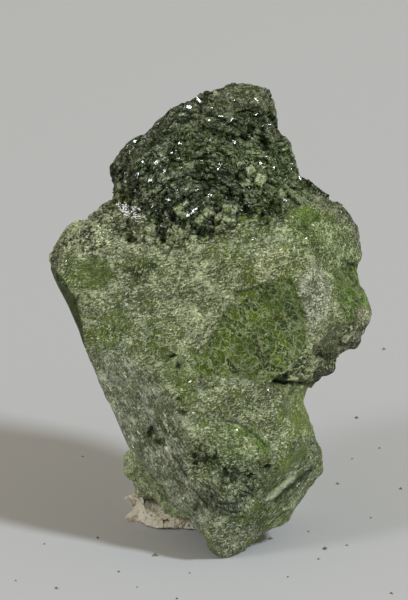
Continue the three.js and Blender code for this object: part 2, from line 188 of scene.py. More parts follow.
# Painted in this order, each over the ones before it.
ZONES = {
    # Partly pale grains and partly painted light: the frost is made lighter where the shoulder turns up to
    # the light.
    "left granular shoulder, painted lighter": zone(
        [(-14.6, 25.4), (-13, 27.6), (-11.9, 29), (-9.9, 30.4), (-8.2, 30.6), (-6.3, 29.7), (-4.8, 28.6),
         (-4.6, 26.8), (-6.8, 26), (-9, 26.6), (-10.4, 26), (-12.2, 26.3), (-13.2, 25.2)],
        0.35, -3, BLACK_GREEN, (0.48, 0.525, 0.32), 0.62, glitter=0.6),
    "smooth green patch": zone(
        [(-11.5, 25.6), (-10, 26.2), (-8.7, 25.3), (-8.9, 23.3), (-10.5, 22.9), (-11.5, 24)],
        0.15, 1, (0.078, 0.104, 0.022), (0.215, 0.262, 0.108), 0.38, glitter=0.1, calm=0.6, face=0.5),
    "green spots": zone(
        [(-9.8, 20.5), (-8.9, 20.4), (-7.6, 19.7), (-8.1, 18.9), (-9.6, 19.1)],
        0.15, 1, DEEP_GREEN, (0.43, 0.48, 0.28), 0.46, glitter=0.3),
    "dark streaks": zone(
        [(-7.7, 24.5), (-6.3, 25.3), (-4.7, 25.8), (-4.6, 24.6), (-6.6, 23.8)],
        0.3, 1, (0.02, 0.034, 0.006), SAGE, 0.3, glitter=0.3, face=0.8),
    "grey middle": zone(
        [(-6, 24), (-2.6, 26.3), (0.6, 25.6), (1.4, 23.4), (-1.2, 20.6), (-3.6, 20.2), (-6.4, 21.8)],
        0.9, 1, GREY_GREEN, (0.39, 0.435, 0.255), 0.5, glitter=0.4, face=0.6),
    "grey left": zone(
        [(-9.8, 23.2), (-7.6, 24.2), (-5.2, 22.6), (-5.4, 20.6), (-7, 20.3), (-9.4, 21.2)],
        0.7, 1, (0.1, 0.12, 0.048), (0.385, 0.43, 0.27), 0.5, glitter=0.3, face=0.6),
    "pale ridge": zone(
        [(3.4, 23.7), (2.9, 24.9), (3.8, 25.8), (5.1, 26.9), (6.9, 26.8), (8.4, 26), (9.4, 25.2),
         (8.8, 24.1), (7.3, 24), (6.6, 24.1), (4.7, 23.8), (2.5, 23), (0.6, 20.9), (-1, 19.1),
         (-2.4, 17.5), (-3.2, 18.1), (-1.7, 19.9), (0.3, 22), (2, 23.8)],
        0.35, 0, OLIVE, (0.44, 0.48, 0.28), 0.5, glitter=0.2, face=0.3),
    "pale stripe": zone(
        [(7.2, 23.8), (8.4, 25), (9.7, 24.6), (10.1, 23), (9.9, 20.9), (9.1, 19.1), (8.4, 18.3), (8, 20),
         (7.5, 22.2)],
        0.5, 0, (0.108, 0.124, 0.065), (0.388, 0.413, 0.289), 0.54, glitter=0.3, calm=0.1),
    "upper right": zone(
        [(6.2, 29.4), (7.5, 30.6), (9.4, 30.6), (11.6, 29.4), (13, 27.4), (13, 25.2), (10.1, 25),
         (7.5, 27), (6.2, 27.8)],
        0.5, -4, (0.072, 0.106, 0.016), (0.378, 0.444, 0.227), 0.48, glitter=0.35),
    "upper right, dark rim": zone(
        [(7.6, 31.8), (9.4, 32.4), (11.4, 31.4), (13.2, 28.6), (13.6, 26.4), (12.2, 26.4), (11.7, 28.2),
         (10.4, 29.7), (8.6, 30.6)],
        0.5, -4, (0.06, 0.072, 0.032), (0.285, 0.305, 0.195), 0.46, glitter=0.4),
    "right green": zone(
        [(10.5, 24.9), (12.5, 25.2), (14.6, 23.4), (14.8, 21.2), (12.9, 20.2), (11.4, 20.4), (10.8, 22.2),
         (10.4, 23.4)],
        0.25, -5, (0.044, 0.082, 0.003), (0.23, 0.29, 0.105), 0.26, net=0.9, glitter=0.2, calm=0.5,
        band=0.5),
    "bright spot": zone(
        [(7, 29.5), (7.5, 30.3), (8.3, 30.2), (8.1, 29.5), (7.5, 29)],
        0.1, 0, (0.115, 0.19, 0.026), (0.29, 0.37, 0.15), 0.42, glitter=0.1, calm=0.45),
    "bright spot, lower part": zone(
        [(7.9, 29.3), (9.1, 29.9), (9, 29.1), (8.2, 28.6), (7.4, 28.5)],
        0.1, 0, (0.062, 0.112, 0.008), (0.2, 0.27, 0.085), 0.36, glitter=0.1, calm=0.45),
    "pale tip": zone(
        [(12.4, 21.5), (14.2, 21.6), (14, 19.6), (12.6, 19.4)],
        0.35, -2, (0.185, 0.165, 0.085), WHITE_GREY, 0.45, glitter=0.4),
    "under the right point": zone(
        [(9.8, 17.4), (10.6, 18.9), (11.4, 20.2), (13, 20.3), (14.2, 19.6), (13.4, 17.4), (10.9, 16.6)],
        0.2, -6, (0.038, 0.046, 0.02), (0.34, 0.36, 0.23), 0.46, glitter=0.7, strips=0.6),
    "below the stripe": zone(
        [(8.2, 18.6), (8.9, 19.9), (10, 20.6), (11, 20.2), (10.8, 18.8), (10.3, 17.5), (8.6, 17)],
        0.4, -4, (0.072, 0.09, 0.03), (0.29, 0.325, 0.185), 0.46, glitter=0.3, calm=0.3),
    "window": zone(
        [(2.2, 22.9), (6.6, 24.05), (7.25, 22.7), (8.2, 20), (8.6, 18.35), (5.1, 15.25), (-1.1, 15.7),
         (-1.7, 17.4), (-0.5, 18.5), (0.45, 20.15)],
        0.08, 2, (0.045, 0.067, 0.003), (0.215, 0.258, 0.11), 0.22, net=1, glitter=0.15, calm=0.55,
        steady=True),
    "window, darkest part": zone(
        [(4.3, 23.3), (6.7, 23.9), (7.3, 22.2), (7.4, 21.2), (5.3, 21.3), (3.6, 22.2)],
        0.3, 2, (0.03, 0.055, 0.001), (0.17, 0.205, 0.085), 0.22, net=0.6, glitter=0.15, calm=0.5),
    "window, lower dark part": zone(
        [(2.8, 19.4), (5.2, 19.6), (6, 18.4), (4.4, 17.2), (2.6, 17.8)],
        0.3, 2, (0.03, 0.055, 0.001), (0.18, 0.215, 0.09), 0.22, net=0.8, glitter=0.15, calm=0.5),
    "pale ridge, lower part": zone(
        [(2.4, 23.6), (1.9, 22.4), (0.7, 20.5), (-0.3, 18.9), (-1, 17.6), (-2.9, 17.5), (-3.6, 18.2),
         (-2.2, 19.7), (-0.4, 21.4), (1.2, 23.1)],
        0.5, 0, (0.11, 0.134, 0.045), (0.43, 0.475, 0.28), 0.57, glitter=0.2, face=0.3),
    "green left of the window": zone(
        [(-2.6, 17.7), (-1.1, 15.7), (-3.2, 14.9), (-4.4, 16.2), (-4.6, 17.6), (-3.4, 18.2)],
        0.4, 2, (0.06, 0.088, 0.004), (0.3, 0.35, 0.18), 0.38, net=0.9, glitter=0.2, calm=0.3),
    "plates": zone(
        [(5, 15.1), (6.8, 16.6), (8.6, 18.4), (8.7, 14.9), (6.2, 14.8)],
        0.15, 0, (0.026, 0.036, 0.01), (0.35, 0.395, 0.22), 0.5, glitter=0.3, calm=0.2, face=0.6),
    # Painted shade: this hollow under the plates is painted near black where shade falls in it.
    "cavity in painted shade": zone(
        [(4.9, 15), (6.3, 16.1), (6.7, 15.9), (6.3, 15.4), (6.9, 15.3), (7.5, 15)],
        0.15, 0, BLACK_GREEN, OLIVE, 0.2, glitter=0.6, face=1),
    "ledge": zone(
        [(8.65, 18.2), (9.6, 18), (10.7, 17.4), (11.4, 16.6), (10.9, 15.2), (9.2, 14.2), (8.65, 14.6)],
        0.12, -6, (0.036, 0.054, 0.014), (0.32, 0.35, 0.205), 0.42, glitter=0.5, strips=0.5, steady=True),
    # Painted shade: the foot under the ledge is painted near black.
    "ledge, foot in painted shade": zone(
        [(8.6, 15.8), (9.2, 16.1), (10.2, 16.3), (10.9, 16), (10.8, 15), (9.6, 14.3), (8.6, 14.6)],
        0.2, -6, BLACK_GREEN, (0.18, 0.205, 0.11), 0.38, glitter=0.5, strips=0.5),
    "edge by the ledge": zone(
        [(8, 20.5), (8.45, 20.3), (8.62, 17.8), (8.62, 14.8), (8.35, 14.8), (8.2, 17.8)],
        0.1, 0, (0.19, 0.23, 0.11), (0.43, 0.48, 0.29), 0.55, glitter=0.3, calm=0.3, steady=True),
    "below the window": zone(
        [(-2.9, 15.6), (5.1, 15), (8.6, 14.8), (7.5, 11.4), (4.2, 10.2), (1, 11.9), (-2.4, 11.9)],
        0.6, 1, (0.108, 0.134, 0.032), (0.35, 0.39, 0.245), 0.47, glitter=0.3),
    "yellow slope": zone(
        [(6.2, 14.6), (8.6, 14.6), (8.8, 10.8), (6.7, 10.1)],
        0.5, -2, (0.132, 0.168, 0.036), (0.345, 0.4, 0.18), 0.41, glitter=0.2, calm=0.4),
    "grey band": zone(
        [(-10.6, 17.8), (-7.6, 17.9), (-5.4, 15.7), (-3.3, 13.6), (-2.4, 10.1), (-1.1, 6.6), (0.2, 3.2),
         (-1.5, 2.2), (-4.6, 6), (-7.6, 9.3), (-9.2, 12.4)],
        0.9, 1, (0.126, 0.145, 0.08), (0.35, 0.387, 0.277), 0.52, glitter=0.4, band=0.4),
    "silver streaks": zone(
        [(-4.8, 9.9), (-3.6, 9.5), (-1.9, 6.4), (-0.5, 4.3), (-1.4, 3.9), (-3.2, 6.4)],
        0.6, 1, (0.118, 0.134, 0.08), (0.41, 0.438, 0.325), 0.5, glitter=0.6, band=0.6),
    "dark seam": zone(
        [(-5.2, 13.1), (-3.3, 12.7), (-2.2, 9.7), (-0.7, 6), (0.6, 4.2), (-0.1, 3.6), (-1.4, 6.4),
         (-3.2, 9.6), (-4.6, 11.4)],
        0.7, 2, (0.084, 0.104, 0.05), (0.35, 0.38, 0.26), 0.43, glitter=0.6, band=0.5),
    "mound": zone(
        [(-2, 10.1), (1, 11.6), (4.2, 9.8), (5.1, 8.5), (5.3, 7.1), (3.9, 4.9), (1.9, 3.9), (-0.3, 4.5),
         (-2, 7.5)],
        0.9, 2, (0.098, 0.128, 0.042), (0.305, 0.35, 0.212), 0.5, glitter=0.35),
    "mound, dark gaps": zone(
        [(-2, 9.2), (-0.2, 9.6), (1.4, 8.6), (3.4, 8.1), (4.4, 8), (4.1, 6.8), (3.2, 5.4), (1.8, 4.9),
         (0.2, 5.6), (-1.2, 7.2)],
        0.7, 2, (0.056, 0.078, 0.026), (0.31, 0.355, 0.215), 0.48, glitter=0.5),
    "mound, dark foot": zone(
        [(-1.4, 6.6), (-0.5, 6.4), (0.7, 5.3), (1.8, 5), (2.9, 6), (3.5, 5.9), (2.5, 4.3), (1.7, 3.6),
         (0.4, 4), (-0.8, 5.2)],
        0.4, 2, (0.07, 0.085, 0.054), (0.28, 0.311, 0.218), 0.45, glitter=0.8, band=0.7),
    "mound, pale belly": zone(
        [(-1, 9.6), (0.6, 11.3), (2, 11), (3.6, 9.9), (4.6, 8.7), (3.2, 8.3), (1.2, 8.9)],
        0.6, 2, (0.12, 0.154, 0.056), (0.33, 0.385, 0.205), 0.5, glitter=0.3),
    "green crescent": zone(
        [(0.7, 11.9), (2.3, 11.5), (3.7, 10.6), (4.8, 9.4), (4.7, 8.8), (4.1, 9.3), (3.2, 10.1),
         (2, 10.8)],
        0.15, 2, (0.08, 0.13, 0.014), (0.27, 0.35, 0.14), 0.38, glitter=0.2, calm=0.3),
    "lower right strips": zone(
        [(2.8, 3.2), (5.3, 7.1), (7.5, 10.1), (8.9, 10.9), (9.4, 8.4), (8.4, 6.2), (6.2, 3.9), (4.2, 2.3),
         (2.3, 1)],
        0.2, -2, (0.088, 0.114, 0.038), (0.34, 0.378, 0.24), 0.38, glitter=0.4, strips=0.8),
    "smooth strip": zone(
        [(5.1, 6.8), (7.5, 9.9), (8.2, 9.1), (6.2, 7.1)],
        0.12, 2, (0.112, 0.142, 0.054), (0.24, 0.285, 0.14), 0.26, glitter=0.1, calm=0.65, strips=1,
        steady=True),
    "line under the streak": zone(
        [(4.9, 4.7), (6.9, 6.5), (8.3, 7.7), (8.9, 7.9), (8.2, 7), (7, 6.1), (5.3, 4.6)],
        0.12, 0, (0.03, 0.038, 0.026), GREY_GREEN, 0.3, glitter=0.6, strips=1, steady=True),
    "pale streak": zone(
        [(4.5, 4.9), (4.8, 5.5), (6.8, 7.1), (7.2, 7), (7, 6.6), (5.3, 5.2)],
        0.08, 2, (0.4, 0.44, 0.29), (0.4, 0.44, 0.29), 0.8, calm=0.9, strips=1, steady=True),
    "bottom tip": zone(
        [(-0.7, 2.3), (0.2, 3), (3.2, 3.2), (4.2, 2.2), (1, -0.4)],
        0.5, -2, (0.09, 0.099, 0.052), (0.4, 0.435, 0.29), 0.5, glitter=0.4),
    # Partly the lobe's own sage colour and partly painted light: its colours are made lighter than the
    # stone's to make up for the shade it sits in.
    "lobe": zone(
        [(-8.2, 9.2), (-6.6, 9.4), (-4.1, 6.6), (-1.5, 3.2), (-3.9, 3.2), (-8.2, 6.6)],
        0.4, -9, (0.2, 0.25, 0.12), (0.5, 0.565, 0.35), 0.5, glitter=0.2, calm=0.55, front=2.2),
    "narrow facet": zone(
        [(-14.6, 25.2), (-13.3, 24.9), (-12.5, 23.7), (-11.7, 22.3), (-11.4, 20.8), (-11.1, 18),
         (-12.6, 19.6)],
        0.1, -2, (0.022, 0.038, 0.006), OLIVE, 0.3, glitter=0.2, calm=0.4, steady=True),
    "dark cap": zone(
        [(-12, 31.6), (-9.4, 31.4), (-8.7, 31.2), (-8, 31), (-6.5, 30.1), (-5.4, 29.4), (-4.9, 28.6),
         (-4.5, 27.3), (-4.2, 27.2), (-4.1, 28.2), (-3.5, 28.7), (-2.3, 28.8), (-1.7, 28.4), (-0.4, 28.5),
         (0.8, 29.1), (2.3, 29.2), (3.9, 29.4), (5.1, 29.3), (5.9, 29.4), (5.8, 30.4), (6.8, 31),
         (7.9, 31.4), (9, 31.5), (10.2, 31.2), (11.8, 31.6), (9, 44), (-6, 44), (-14, 36)],
        0.15, -30, (0.021, 0.038, 0.009), (0.29, 0.33, 0.212), 0.45, glitter=1, cap=0.7),
    "cap, green middle": zone(
        [(-3.6, 36.4), (0.2, 38.6), (3.4, 37.4), (3.6, 34), (0, 33.6), (-4, 33.4)],
        0.8, -3, (0.034, 0.056, 0.01), (0.265, 0.31, 0.175), 0.45, glitter=0.9, cap=0.7),
    "cap, lower middle": zone(
        [(-2.4, 32.6), (1, 33.4), (4.6, 32.8), (5, 30.6), (1.4, 30.2), (-2, 30.4)],
        0.8, -3, (0.026, 0.046, 0.008), (0.27, 0.315, 0.19), 0.45, glitter=0.9, cap=0.7),
    "cap, mid-green right part": zone(
        [(3.5, 35.6), (6.4, 36.2), (7.8, 32.4), (5.8, 29.6), (3.6, 31.2), (2.6, 33.4)],
        0.8, -3, (0.034, 0.058, 0.01), (0.28, 0.335, 0.175), 0.46, glitter=0.8, cap=0.7),
    "cap, lighter top": zone(
        [(-1.2, 39.6), (2, 41.2), (4.4, 40.8), (5.6, 38), (3.9, 36.6), (2.4, 37.8), (0, 38.4)],
        0.8, -3, DARK_GREEN, (0.31, 0.335, 0.215), 0.47, glitter=0.7, cap=0.7),
    "cap, upper band": zone(
        [(-2.6, 37.9), (-0.6, 38.9), (1.6, 37.7), (1.2, 36.4), (-1.4, 36.3)],
        0.6, -3, (0.05, 0.07, 0.022), (0.3, 0.34, 0.21), 0.49, glitter=0.8, cap=0.7),
    "cap, dark arch": zone(
        [(0.2, 33.2), (1.6, 33.9), (2.6, 33), (3, 31.2), (1.6, 30.8), (1.4, 32.2), (0.4, 32.4)],
        0.4, -3, BLACK_GREEN, (0.21, 0.245, 0.145), 0.37, glitter=0.9, cap=0.7),
    "cap, dark left": zone(
        [(-4.8, 37.4), (-3.6, 37.8), (-3, 36), (-3.4, 34.6), (-4.8, 34.9)],
        0.6, -6, (0.014, 0.028, 0.006), (0.24, 0.275, 0.175), 0.38, glitter=1, cap=0.7),
    "cap, right foot": zone(
        [(4, 30.4), (5.6, 31.8), (7.8, 32), (8.2, 31.2), (6.2, 29.8), (4.6, 29.4)],
        0.6, -3, (0.05, 0.078, 0.014), (0.31, 0.36, 0.2), 0.49, glitter=0.7, cap=0.7),
}
BASE_LOOKS = looks(OLIVE, SAGE, 0.47, glitter=0.2, face=0.5)
BLOCK_LOOKS = looks(OLIVE, SAGE, 0.55, glitter=0.3, calm=0.6)
EDGE_WANDER = 0.35  # how far a zone's edge strays, in millimetres
BORDER_BLOCK = (0.75, 0.95, 0.9)  # the size of the blocks that break up the cap's border
BORDER_BLOCK_SHIFT = 1.5  # how far they move it

# Light-green blocks in and under the cap: centre (u, v), half the length and width, turn in degrees, and
# share of BLOCK_HEIGHT.
BLOCK_HEIGHT = 0.6
BLOCKS = [
    (1.4, 29.5, 0.80, 0.58, 85, 0.30), (3.2, 33.3, 0.40, 0.32, 30, 0.30), (4.0, 32.4, 0.48, 0.42, 70, 0.38),
    (2.8, 32.2, 0.36, 0.30, 10, 0.28), (-8.2, 32.0, 0.36, 0.30, 20, 0.25), (-8.3, 31.1, 0.4, 0.3, -15, 0.25),
    (-2.8, 29.8, 0.72, 0.4, -60, 0.35), (-5.9, 27.8, 0.5, 0.42, 25, 0.35), (-5.3, 28.3, 0.42, 0.34, 70, 0.35),
    (-0.3, 29.7, 0.46, 0.38, 15, 0.30), (-1.1, 29.0, 0.4, 0.34, 50, 0.30), (-7.0, 29.3, 0.45, 0.35, -30, 0.3),
    (-9.1, 28.6, 0.42, 0.34, 40, 0.28), (5.9, 31.3, 0.40, 0.30, 60, 0.25), (-3.9, 26.9, 0.45, 0.30, 80, 0.2),
]
# Small shifts of the outline: centre (u, v), reach, and how far it moves in u and v.
NUDGES = [
    (-4.3, 38.2, 2.0, -0.20, 0.36), (-6.3, 36.9, 1.0, 0.12, -0.25), (4.9, 39.4, 1.2, 0.30, 0.10),
    (6.0, 35.8, 0.8, 0.50, 0.0), (7.3, 33.8, 1.0, 0.25, 0.05), (8.1, 32.4, 0.7, 0.20, 0.05),
    (9.8, 31.8, 1.3, -0.02, -0.15), (12.4, 28.6, 1.2, 0.26, 0.10),
    (12.3, 18.5, 1.3, 0.25, -0.45), (10.8, 17.6, 0.8, 0.30, -0.20), (-7.9, 7.5, 1.2, 0.35, 0.0),
    (-7.3, 5.8, 1.2, 0.50, 0.30), (-5.7, 4.3, 1.2, 0.40, 0.50), (-3.7, 4.3, 1.0, -0.25, -0.35),
    (-13.6, 24.2, 2.2, -0.30, 0.0), (9.1, 9.2, 1.8, 0.30, 0.0), (8.0, 14.8, 0.8, 0.25, 0.0),
    (-0.9, 1.5, 0.8, 0.35, 0.0), (4.6, 1.6, 0.8, -0.35, 0.10), (0.0, 40.8, 1.6, -0.35, 0.20),
    (2.4, 41.2, 1.6, 0.0, 0.20), (4.1, 40.5, 0.8, 0.30, 0.10), (-6.9, 35.8, 1.0, -0.25, 0.15),
    (-10.9, 29.7, 1.3, 0.15, -0.05), (-11.4, 28.9, 0.9, -0.14, 0.14), (10.7, 16.0, 0.9, 0.45, 0.0),
]
# Cleavage steps that flash in the right lamp: centre (u, v), half the length and width, turn in degrees.
FLASHES = [
    (-1.9, 29.6, 1.3, 0.14, 42), (-2.4, 30.5, 0.5, 0.12, 60), (-3.2, 31.5, 0.35, 0.25, 0),
    (-3.8, 30.8, 0.35, 0.15, -30), (-2.1, 38.7, 0.6, 0.25, 0), (-1.1, 39.5, 0.3, 0.25, 0),
    (-2.8, 35.7, 0.35, 0.28, 20), (2.0, 35.9, 0.24, 0.24, 0), (-0.3, 31.2, 0.3, 0.2, 10),
    (-1.3, 31.6, 0.3, 0.18, -20), (7.5, 32.9, 0.3, 0.24, 0), (-0.7, 27.9, 0.24, 0.3, 0),
    (-6.5, 32.9, 0.5, 0.18, 80), (-6.0, 34.1, 0.4, 0.13, 60), (-8.9, 32.9, 0.2, 0.2, 0),
    (-6.7, 36.0, 0.2, 0.2, 0), (-4.2, 33.3, 0.3, 0.2, 70), (1.7, 37.7, 0.5, 0.13, 75),
    (6.2, 30.8, 0.3, 0.14, -40), (4.1, 34.1, 0.2, 0.2, 0), (5.4, 33.6, 0.2, 0.18, 0),
    (2.1, 11.0, 0.25, 0.12, -30), (3.6, 10.2, 0.2, 0.12, -45), (-4.0, 8.2, 0.4, 0.12, -65),
    (-7.2, 34.7, 0.4, 0.3, 30), (-4.9, 34.0, 0.3, 0.25, 40), (-5.4, 32.4, 0.4, 0.3, 10),
    (0.6, 33.9, 0.3, 0.2, 0),
    (-6.6, 31.3, 0.5, 0.3, -20), (3.6, 38.0, 0.5, 0.3, 20), (4.7, 37.2, 0.4, 0.25, 30),
    (1.2, 1.6, 0.25, 0.08, 40), (12.9, 20.2, 0.15, 0.12, 0),
]
# The same for steps that flash in the left lamp. Where their flakes are lit they are also painted pale: a
# painted highlight.
LEFT_FLASHES = [
    (-7.9, 30.4, 1.1, 0.28, -8), (-7.1, 30.05, 1.8, 0.30, -4), (-7.3, 29.7, 1.2, 0.26, -8),
    (-6.8, 29.4, 1.2, 0.26, -10),
]
# Pits: centre (u, v), half the size across and up, and depth, which is negative for a lump. A pit is also
# painted dark as shade.
PITS = [
    (-7.2, 28.6, 1.1, 1.0, -0.5), (-7.0, 27.5, 0.40, 0.25, 0.30), (-4.3, 27.6, 0.22, 0.8, 0.25),
    (-0.8, 27.9, 0.45, 0.22, 0.2), (1.5, 28.4, 0.4, 0.2, 0.3), (-3.45, 17.35, 0.4, 0.2, 0.6),
    (-3.0, 16.5, 0.2, 0.6, 0.3), (-1.65, 8.7, 0.20, 0.25, 0.2), (-1.55, 8.1, 0.25, 0.18, 0.2),
    (1.0, 7.5, 0.30, 0.35, 0.3), (3.2, 6.9, 0.35, 0.30, 0.3), (4.7, 7.8, 0.35, 0.25, 0.3),
    (4.2, 37.6, 0.55, 0.8, 0.5), (3.3, 36.9, 0.35, 0.6, 0.25), (-4.6, 9.9, 0.55, 0.45, 0.2),
    (-2.6, 12.4, 0.40, 0.35, 0.15), (-1.4, 4.4, 0.40, 0.60, 0.1), (-3.0, 13.6, 0.30, 0.25, 0.12),
    (-4.2, 10.9, 0.25, 0.35, 0.12), (4.4, 35.6, 0.5, 0.5, 0.4), (-5.4, 10.8, 0.35, 0.5, 0.4),
]
# Cracks: their lines, width and depth. A crack is also painted dark as shade.
CRACKS = [
    ([(-4.2, 29.8), (-2.2, 31.1), (-0.4, 31.8)], 0.16, 0.25),
    ([(-0.6, 33.2), (1.2, 33.0), (2.8, 32.2)], 0.14, 0.2),
    ([(-2.6, 37.6), (-0.4, 38.1), (1.4, 37.6), (2.9, 36.2)], 0.14, 0.2),
    ([(5.1, 15.1), (6.6, 15.0), (8.4, 14.9)], 0.12, 0.35),
    ([(-3.6, 9.0), (-2.2, 7.0)], 0.10, 0.08),
    ([(-1.6, 5.9), (-0.4, 4.1)], 0.10, 0.08),
    ([(0.2, 4.4), (1.4, 3.9), (2.8, 4.0)], 0.08, 0.06),
    ([(-0.2, 5.1), (1.1, 4.6), (2.4, 4.8)], 0.08, 0.06),
    ([(0.6, 3.8), (1.7, 3.4), (3.0, 3.6)], 0.08, 0.06),
    ([(13.0, 25.1), (11.9, 25.2), (11.2, 25.6)], 0.12, 0.16),
    ([(7.4, 28.4), (8.3, 28.5), (9.2, 29.3)], 0.08, 0.10),
    ([(0.8, 12.0), (2.2, 11.6), (3.6, 10.8), (4.7, 9.5)], 0.11, 0.18),
]


def paint_zones(places):
    """Each point's looks, and how far it lies in each zone."""
    depth = places[:, 2]
    wander = EDGE_WANDER * np.stack([rough(places / 1.1, 40, 4), rough(places / 1.1, 50, 4)], axis=1)
    moved = places[:, :2] + wander
    finish = {key: np.tile(value, (len(places), 1)) for key, value in BASE_LOOKS.items()}
    shifted = places / BORDER_BLOCK + wander @ np.ones((2, 3))
    border_block, border_gap = crystals(shifted, 700, tilt=0.0)
    behind = soft_step(1.0, -2.0, depth)[:, None]
    dark_patch = behind * soft_step(0.0, 0.5, rough(places / 4.5, 400))[:, None]
    pale_patch = behind * soft_step(0.0, 0.5, rough(places / 5.5, 410))[:, None]
    finish["deep"] += dark_patch * (np.array(DARK_GREEN) - finish["deep"])
    finish["frost"] += pale_patch * (np.array(SILVER) - finish["frost"])
    finish["cover"] += 0.16 * pale_patch - 0.14 * dark_patch
    finish["glitter"] += 0.5 * dark_patch
    share = {}
    for name, area in ZONES.items():
        distance = outline_distance(area["outline"], places if area["steady"] else moved)
        if name == "dark cap":
            cap_distance = distance + BORDER_BLOCK_SHIFT * border_block
            distance = cap_distance
        inside = soft_step(area["edge"], -area["edge"], distance)
        inside *= soft_step(area["back"] - 1, area["back"] + 1, depth)
        if area["front"] is not None:
            inside *= soft_step(area["front"] + 0.5, area["front"] - 0.5, depth)
        if name == "narrow facet":
            inside *= soft_step(-0.9, 1.1, depth + 2.4 * rough(places / 1.9, 420, 4))
        share[name] = inside
        for key, value in area["looks"].items():
            finish[key] += inside[:, None] * (value - finish[key])
    near_border = soft_step(1.7, 0.6, np.abs(cap_distance)) * soft_step(34.0, 31.0, places[:, 1])
    share["border gaps"] = near_border * soft_step(0.16, 0.03, border_gap) * soft_step(6.5, 5.0, places[:, 0])
    share["blocks"] = np.zeros(len(places))
    for *block, _ in BLOCKS:
        share["blocks"] = np.maximum(share["blocks"], block_share(places, *block))
    for key, value in BLOCK_LOOKS.items():
        finish[key] += share["blocks"][:, None] * (value - finish[key])
    return finish, share


def rectangle_reach(places, u, v, length, width, turn):
    """How far out each point lies in a turned rectangle: 0 at its centre and 1 at its sides."""
    du, dv, turn = places[:, 0] - u, places[:, 1] - v, math.radians(turn)
    along = du * math.cos(turn) + dv * math.sin(turn)
    across = dv * math.cos(turn) - du * math.sin(turn)
    return np.maximum(np.abs(along) / length, np.abs(across) / width)


def block_share(places, *block):
    """1 in a block and 0 outside, with a slightly uneven edge."""
    reach = rectangle_reach(places, *block) + 0.25 * clouds(places / 0.4, 60)
    return soft_step(1.08, 0.92, reach) * soft_step(-1, 0.5, places[:, 2])


def flash_share(flashes, places):
    """1 on a placed flash and 0 elsewhere."""
    share = np.zeros(len(places))
    for flash in flashes:
        reach = rectangle_reach(places, *flash)
        share = np.maximum(share, soft_step(0.85, 0.25, reach) * (places[:, 2] > -10))
    return share


FLOW_CENTRE = (-0.5, 24.0)
FLOW_RADIUS = 10.0


def flow(places):
    """Places along the cap's grain: round its centre, away from it, and in depth."""
    du, dv = places[:, 0] - FLOW_CENTRE[0], places[:, 1] - FLOW_CENTRE[1]
    return np.stack([FLOW_RADIUS * np.arctan2(du, dv), np.hypot(du, dv), places[:, 2]], axis=1)


def terraces(along, step):
    """A flight of steps: a slow fall and a quick rise in each step, from -0.5 to 0.5."""
    part = along / step - np.floor(along / step)
    return (1 - part) * soft_step(0, 0.25, part) - 0.5


WINDOW_DEPTH = 0.22
LEFT_EDGE = ((-7.4, 9.5), (-13.7, 24.5))


def left_edge_distance(places):
    """How far a point lies from the straight left cleavage face, and more past the face's ends."""
    (au, av), (bu, bv) = LEFT_EDGE
    length = math.hypot(bu - au, bv - av)
    du, dv = (bu - au) / length, (bv - av) / length
    along = (places[:, 0] - au) * du + (places[:, 1] - av) * dv
    right = (places[:, 0] - au) * dv - (places[:, 1] - av) * du
    past = np.maximum(0, np.maximum(-along, along - length))
    return np.abs(right) + past


# Sizes in millimetres of the cap's crystals and the chips on them, along its flow, away from its centre and
# in depth, and of the grains and the broken slabs, and how high each stands out.
CAP_CRYSTAL, CAP_CRYSTAL_HEIGHT = (2.3, 0.95, 1.4), 0.36
CAP_CHIP, CAP_CHIP_HEIGHT = (1.3, 0.34, 0.6), 0.12
GRAIN, GRAIN_HEIGHT = 0.8, 0.13
SLAB, SLAB_HEIGHT = 2.6, 0.45
SLAB_STEP, SLAB_STEP_HEIGHT = 3.3, 0.35


